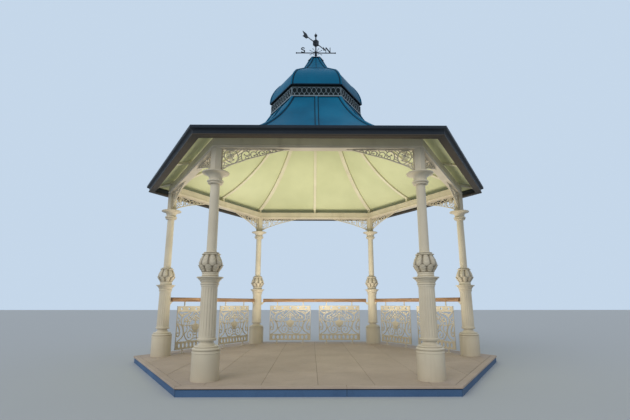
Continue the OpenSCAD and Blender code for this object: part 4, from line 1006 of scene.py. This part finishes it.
def gutter_paint(name, foot_z, lip_z):
    material, tree, where = start_material(name)
    height = add_node(tree, "ShaderNodeSeparateXYZ", {0: where}).outputs["Z"]
    bands = ramp(tree, between(tree, height, 0, 1, foot_z, lip_z), [
        (0, (0.06, 0.048, 0.034)), (0.17, (0.07, 0.056, 0.04)), (0.2, (0.017, 0.022, 0.03)),
        (0.68, (0.024, 0.033, 0.044)), (0.72, (0.012, 0.018, 0.027)), (1, (0.016, 0.026, 0.038))])
    cloud = speckle(tree, where, 3, 5)
    worn = blend_colours(tree, patches(tree, cloud, 0.5, 0.8, 0.25), bands, (0.06, 0.065, 0.07))
    grain = speckle(tree, where, 120, 3)
    return finish_material(material, worn, between(tree, cloud, 0.45, 0.62), grain, 0.0007, 0.5, specular=0.3)


gutter_low, gutter_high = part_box("gutter")
coat_nodes(gutter_paint("gutter_paint", gutter_low.z, gutter_high.z), ["gutter"])

# Roof. Six bell-cast faces of sheet metal under a deep blue-green paint, weathered in soft streaks down the
# slope, with raised rolls over the hips and up the middle of each face.


def roof_paint(name, dark, mid, pale):
    material, tree, where = start_material(name)
    body = ramp(tree, speckle(tree, where, 1.6, 5), [(0.3, dark), (0.52, mid), (0.75, pale)])
    streaks = speckle(tree, where, 5, 5, (1, 1, 0.15))
    washed = blend_colours(tree, patches(tree, streaks, 0.52, 0.78, 0.4), body, pale)
    grain = speckle(tree, where, 45, 3)
    roughness = between(tree, streaks, 0.4, 0.58)
    return finish_material(material, washed, roughness, grain, 0.0008, 0.4, specular=0.16)


roof_coat = roof_paint("roof_paint", (0.001, 0.09, 0.18), (0.002, 0.115, 0.225), (0.004, 0.15, 0.28))
coat_nodes(roof_coat, [name for name in nodes if name.startswith("roof_")] + ["cupola", "cupola_rolls"])

# Seams. The rolls are capped strips, and a dark line runs down both sides of each, on the roof and on the
# cupola, painted shadow along the roll's edge. A dark band of painted shadow also closes the cupola's lower
# edge and the crease at its spire's foot, and a fine dark seam runs up the middle of each face of the spire.


def front_section(name):
    points = set()
    for polygon in nodes[name].data.polygons:
        if abs(polygon.normal.x) < 0.01 and polygon.normal.y < -0.2 and polygon.center.y < 0:
            for i in polygon.vertices:
                corner = nodes[name].data.vertices[i].co
                points.add((round(-corner.y, 5), round(corner.z, 5)))
    return sorted(points, key=lambda p: (p[1], -p[0]))


def add_strip(bm, section, left, right, lift):
    sunk = -0.002
    rings = []
    for i, (d, z) in enumerate(section):
        before = section[max(i - 1, 0)]
        after = section[min(i + 1, len(section) - 1)]
        run = Vector((after[0] - before[0], after[1] - before[1])).normalized()
        ring = []
        for x, depth in ((left(d), sunk), (right(d), sunk), (right(d), lift), (left(d), lift)):
            ring.append(bm.verts.new((x, -(d + run.y * depth), z - run.x * depth)))
        rings.append(ring)
    skin(bm, rings)


def roll_shadows_beside(bm, section, hip_half, mid_half, seam_w, lift):
    for side in (-1, 1):
        add_strip(bm, section, lambda d: side * (d * side_tan - hip_half / side_cos),
                  lambda d: side * (d * side_tan - (hip_half + seam_w) / side_cos), lift)
        if mid_half:
            add_strip(bm, section, lambda d: side * mid_half, lambda d: side * (mid_half + seam_w), lift)


# Near-black paint for painted shadow beside the rolls, under the cupola's edge and in the spire's crease, and
# for the dark seam up the spire.
def seam_and_shadow_paint(name):
    material, tree, where = start_material(name)
    cloud = speckle(tree, where, 14, 4)
    body = ramp(tree, cloud, [(0.3, (0.001, 0.008, 0.018)), (0.7, (0.002, 0.014, 0.03))])
    return finish_material(material, body, 0.6, specular=0.25)


seam_and_shadow = seam_and_shadow_paint("seam_and_shadow_paint")
roof_section = front_section("roof_front")
cupola_section = front_section("cupola")
seam_lift = 0.003
shadow_band_lift = 0.004
eave_shadow_h = 0.02
crease_reach = 0.01
spire_seam_half = 0.005
bm = bmesh.new()
roll_shadows_beside(bm, roof_section, hip_half=0.029, mid_half=0.022, seam_w=0.016, lift=seam_lift)
roll_shadows_beside(bm, cupola_section, hip_half=0.017, mid_half=0, seam_w=0.014, lift=seam_lift)
edge_d, edge_z = cupola_section[0]
# Painted shadow under the cupola's lower edge.
eave_shadow = [(edge_d, edge_z), (edge_d, edge_z + eave_shadow_h)]
add_strip(bm, eave_shadow, lambda d: -d * side_tan, lambda d: d * side_tan, shadow_band_lift)


def steepness(a, b):
    return (b[1] - a[1]) / max(a[0] - b[0], 1e-6)


slopes = [steepness(a, b) for a, b in zip(cupola_section, cupola_section[1:])]
bends = [after - before for before, after in zip(slopes, slopes[1:])]
foot = bends.index(max(bends)) + 1
below, crease, above = [Vector(p) for p in cupola_section[foot - 1:foot + 2]]
near = [crease + (below - crease).normalized() * crease_reach, crease,
        crease + (above - crease).normalized() * crease_reach]
# Painted shadow in the crease at the spire's foot.
add_strip(bm, near, lambda d: -d * side_tan, lambda d: d * side_tan, shadow_band_lift)
add_strip(bm, cupola_section[foot:], lambda d: -spire_seam_half, lambda d: spire_seam_half, seam_lift)
bmesh.ops.recalc_face_normals(bm, faces=bm.faces)
seam_shadows = six_round(piece_from("roof_seam_shadows", bm, seam_and_shadow))
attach(seam_shadows, "bandstand")

# Lantern. A cast frieze in pale grey: a row of ovals that touch, on short stems over a foot rail, with a
# thin top rail and a slim post at each corner. The boarded wall and soffit behind it are painted near black,
# painted shade behind the frieze and under the cupola's eave.
frieze_low, frieze_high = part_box("lantern_frieze")
frieze_t = 0.011
frieze_face = 0.787
frieze_half = frieze_face * side_tan
foot_drop = 0.054
top_drop = 0.015
frieze_foot = frieze_low.z - foot_drop
frieze_top = frieze_high.z - top_drop
oval_count = 10
corner_gap = 0.009
oval_pitch = 2 * (frieze_half - corner_gap) / oval_count
oval_tall = 0.0565
oval_w = 0.0075
oval_gap = 0.003
oval_drop = 0.011
oval_z = frieze_top - oval_drop - oval_tall
foot_rail_h = 0.025
top_rail_h = 0.007
corner_post_w = 0.008
rail_end = 0.004
stem_foot = 0.02
stem_foot_w = 0.012
stem_head_w = 0.02
frieze_paint = iron_paint("frieze_paint", (0.14, 0.19, 0.22), (0.19, 0.25, 0.285), (0.1, 0.12, 0.13), no_dust)
bm = bmesh.new()
for z, rail_tall in ((frieze_foot + foot_rail_h / 2, foot_rail_h), (frieze_top - top_rail_h / 2, top_rail_h)):
    ends = [(-frieze_half + rail_end, z), (frieze_half - rail_end, z)]
    add_stroke(bm, ends, rail_tall, rail_tall, frieze_t)
for x in (-frieze_half + oval_w, frieze_half - oval_w):
    post = [(x, frieze_foot + stem_foot), (x, frieze_top - rail_end)]
    add_stroke(bm, post, corner_post_w, corner_post_w, frieze_t)
for i in range(oval_count):
    x = -frieze_half + corner_gap + oval_pitch * (i + 0.5)
    oval = whorl(x, oval_z, oval_pitch / 2 - oval_gap, oval_tall, 0, 360)[:-1]
    add_stroke(bm, oval, oval_w, oval_w, frieze_t, True)
    stem = [(x, frieze_foot + stem_foot), (x, oval_z - oval_tall + rail_end)]
    add_stroke(bm, stem, stem_foot_w, stem_head_w, frieze_t * 0.9)
bmesh.ops.recalc_face_normals(bm, faces=bm.faces)
frieze = piece_from("frieze_castings", bm, frieze_paint)
frieze.data.transform(Matrix.Translation((0, -frieze_face + frieze_t / 2, 0)))
six_round(frieze)
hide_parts("lantern_frieze")
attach(frieze, "bandstand")
# Near black for the wall, boards and soffit: painted shade behind the frieze and under the cupola's eave.
near_black = ((0.006, 0.012, 0.014), (0.01, 0.018, 0.02), (0.02, 0.024, 0.024))
lantern_shade = iron_paint("lantern_shade_paint", *near_black, no_dust, specular=0.1, coat=0)
coat_nodes(lantern_shade, ["lantern_wall"])
wall_face = frieze_high.x * side_cos
boards_rise = 0.028
boards_foot = frieze_foot + boards_rise
soffit_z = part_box("cupola")[0].z
soffit_t = 0.004
soffit_inset = 0.003
soffit_arris = 0.0005
board_arris = 0.001
sill_arris = 0.003
sill_lip = 0.009
sill_depth = 0.029
bm = bmesh.new()
boards_outline = mitred(frieze_face - frieze_t, wall_face)
lay_block(bm, boards_outline, boards_foot, soffit_z - soffit_t, board_arris)
lay_block(bm, mitred(edge_d - soffit_inset, wall_face), soffit_z - soffit_t, soffit_z, soffit_arris)
boards = six_round(piece_from("lantern_boards", bm, lantern_shade))
bm = bmesh.new()
sill_face = frieze_face + sill_lip
sill_outline = mitred(sill_face, sill_face - sill_depth)
lay_block(bm, sill_outline, frieze_foot, frieze_foot + foot_rail_h, sill_arris)
sill = six_round(piece_from("frieze_sill", bm, frieze_paint))
for piece in (boards, sill):
    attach(piece, "bandstand")

# Weather vane. Wrought iron, painted almost black, with the four compass letters cut from plate and
# standing on their arms.
vane_iron = iron_paint("vane_iron", (0.008, 0.012, 0.018), (0.014, 0.02, 0.028), (0.03, 0.03, 0.03), no_dust,
                       specular=0.2)
coat_nodes(vane_iron, ["vane_mast", "vane_arms", "vane_arrow"])
arm_top = 6.139
letter_h = 0.12
letter_w = letter_h * 0.74
letter_t = 0.009
thick_bar = 0.025
thin_bar = 0.014


def letter_bars(letter):
    w = letter_w
    h = letter_h
    if letter == "N":
        return [([(0, 0), (0, h)], thin_bar), ([(w, 0), (w, h)], thin_bar), ([(0, h), (w, 0)], thick_bar)]
    if letter == "E":
        half = thin_bar / 2
        reaches = ((h - half, 0.85), (h / 2, 0.65), (half, 0.9))
        arms = [([(0, z), (w * reach, z)], thin_bar) for z, reach in reaches]
        return [([(0, 0), (0, h)], thick_bar)] + arms
    if letter == "W":
        slants = ((0, 0.32, thick_bar), (0.58, 0.32, thin_bar), (0.58, 0.9, thick_bar), (1.14, 0.9, thin_bar))
        return [([(w * top, h), (w * foot, 0)], width) for top, foot, width in slants]
    upper = whorl(w / 2, h * 0.745, w * 0.37, h * 0.2, 20, 270)
    lower = whorl(w / 2, h * 0.275, w * 0.4, h * 0.23, 90, -160)
    return [(upper + lower[1:], thick_bar * 0.85)]


bm = bmesh.new()
for letter, turn, place in (("N", 0, 0.21), ("S", 180, 0.225), ("E", 270, 0.215), ("W", 90, 0.215)):
    bars = bmesh.new()
    for line, width in letter_bars(letter):
        add_stroke(bars, line, width, width, letter_t)
    plate = bpy.data.meshes.new("letter")
    bars.to_mesh(plate)
    bars.free()
    middle = letter_w / 2
    flip = Matrix.Rotation(math.radians(180), 4, "Z") if letter == "S" else Matrix.Identity(4)
    plate.transform(flip @ Matrix.Translation((-middle, 0, 0)))
    plate.transform(Matrix.Translation((place + middle, 0, arm_top)))
    plate.transform(Matrix.Rotation(math.radians(turn), 4, "Z"))
    bm.from_mesh(plate)
    bpy.data.meshes.remove(plate)
bmesh.ops.recalc_face_normals(bm, faces=bm.faces)
letters = piece_from("vane_letters", bm, vane_iron)
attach(letters, "bandstand")
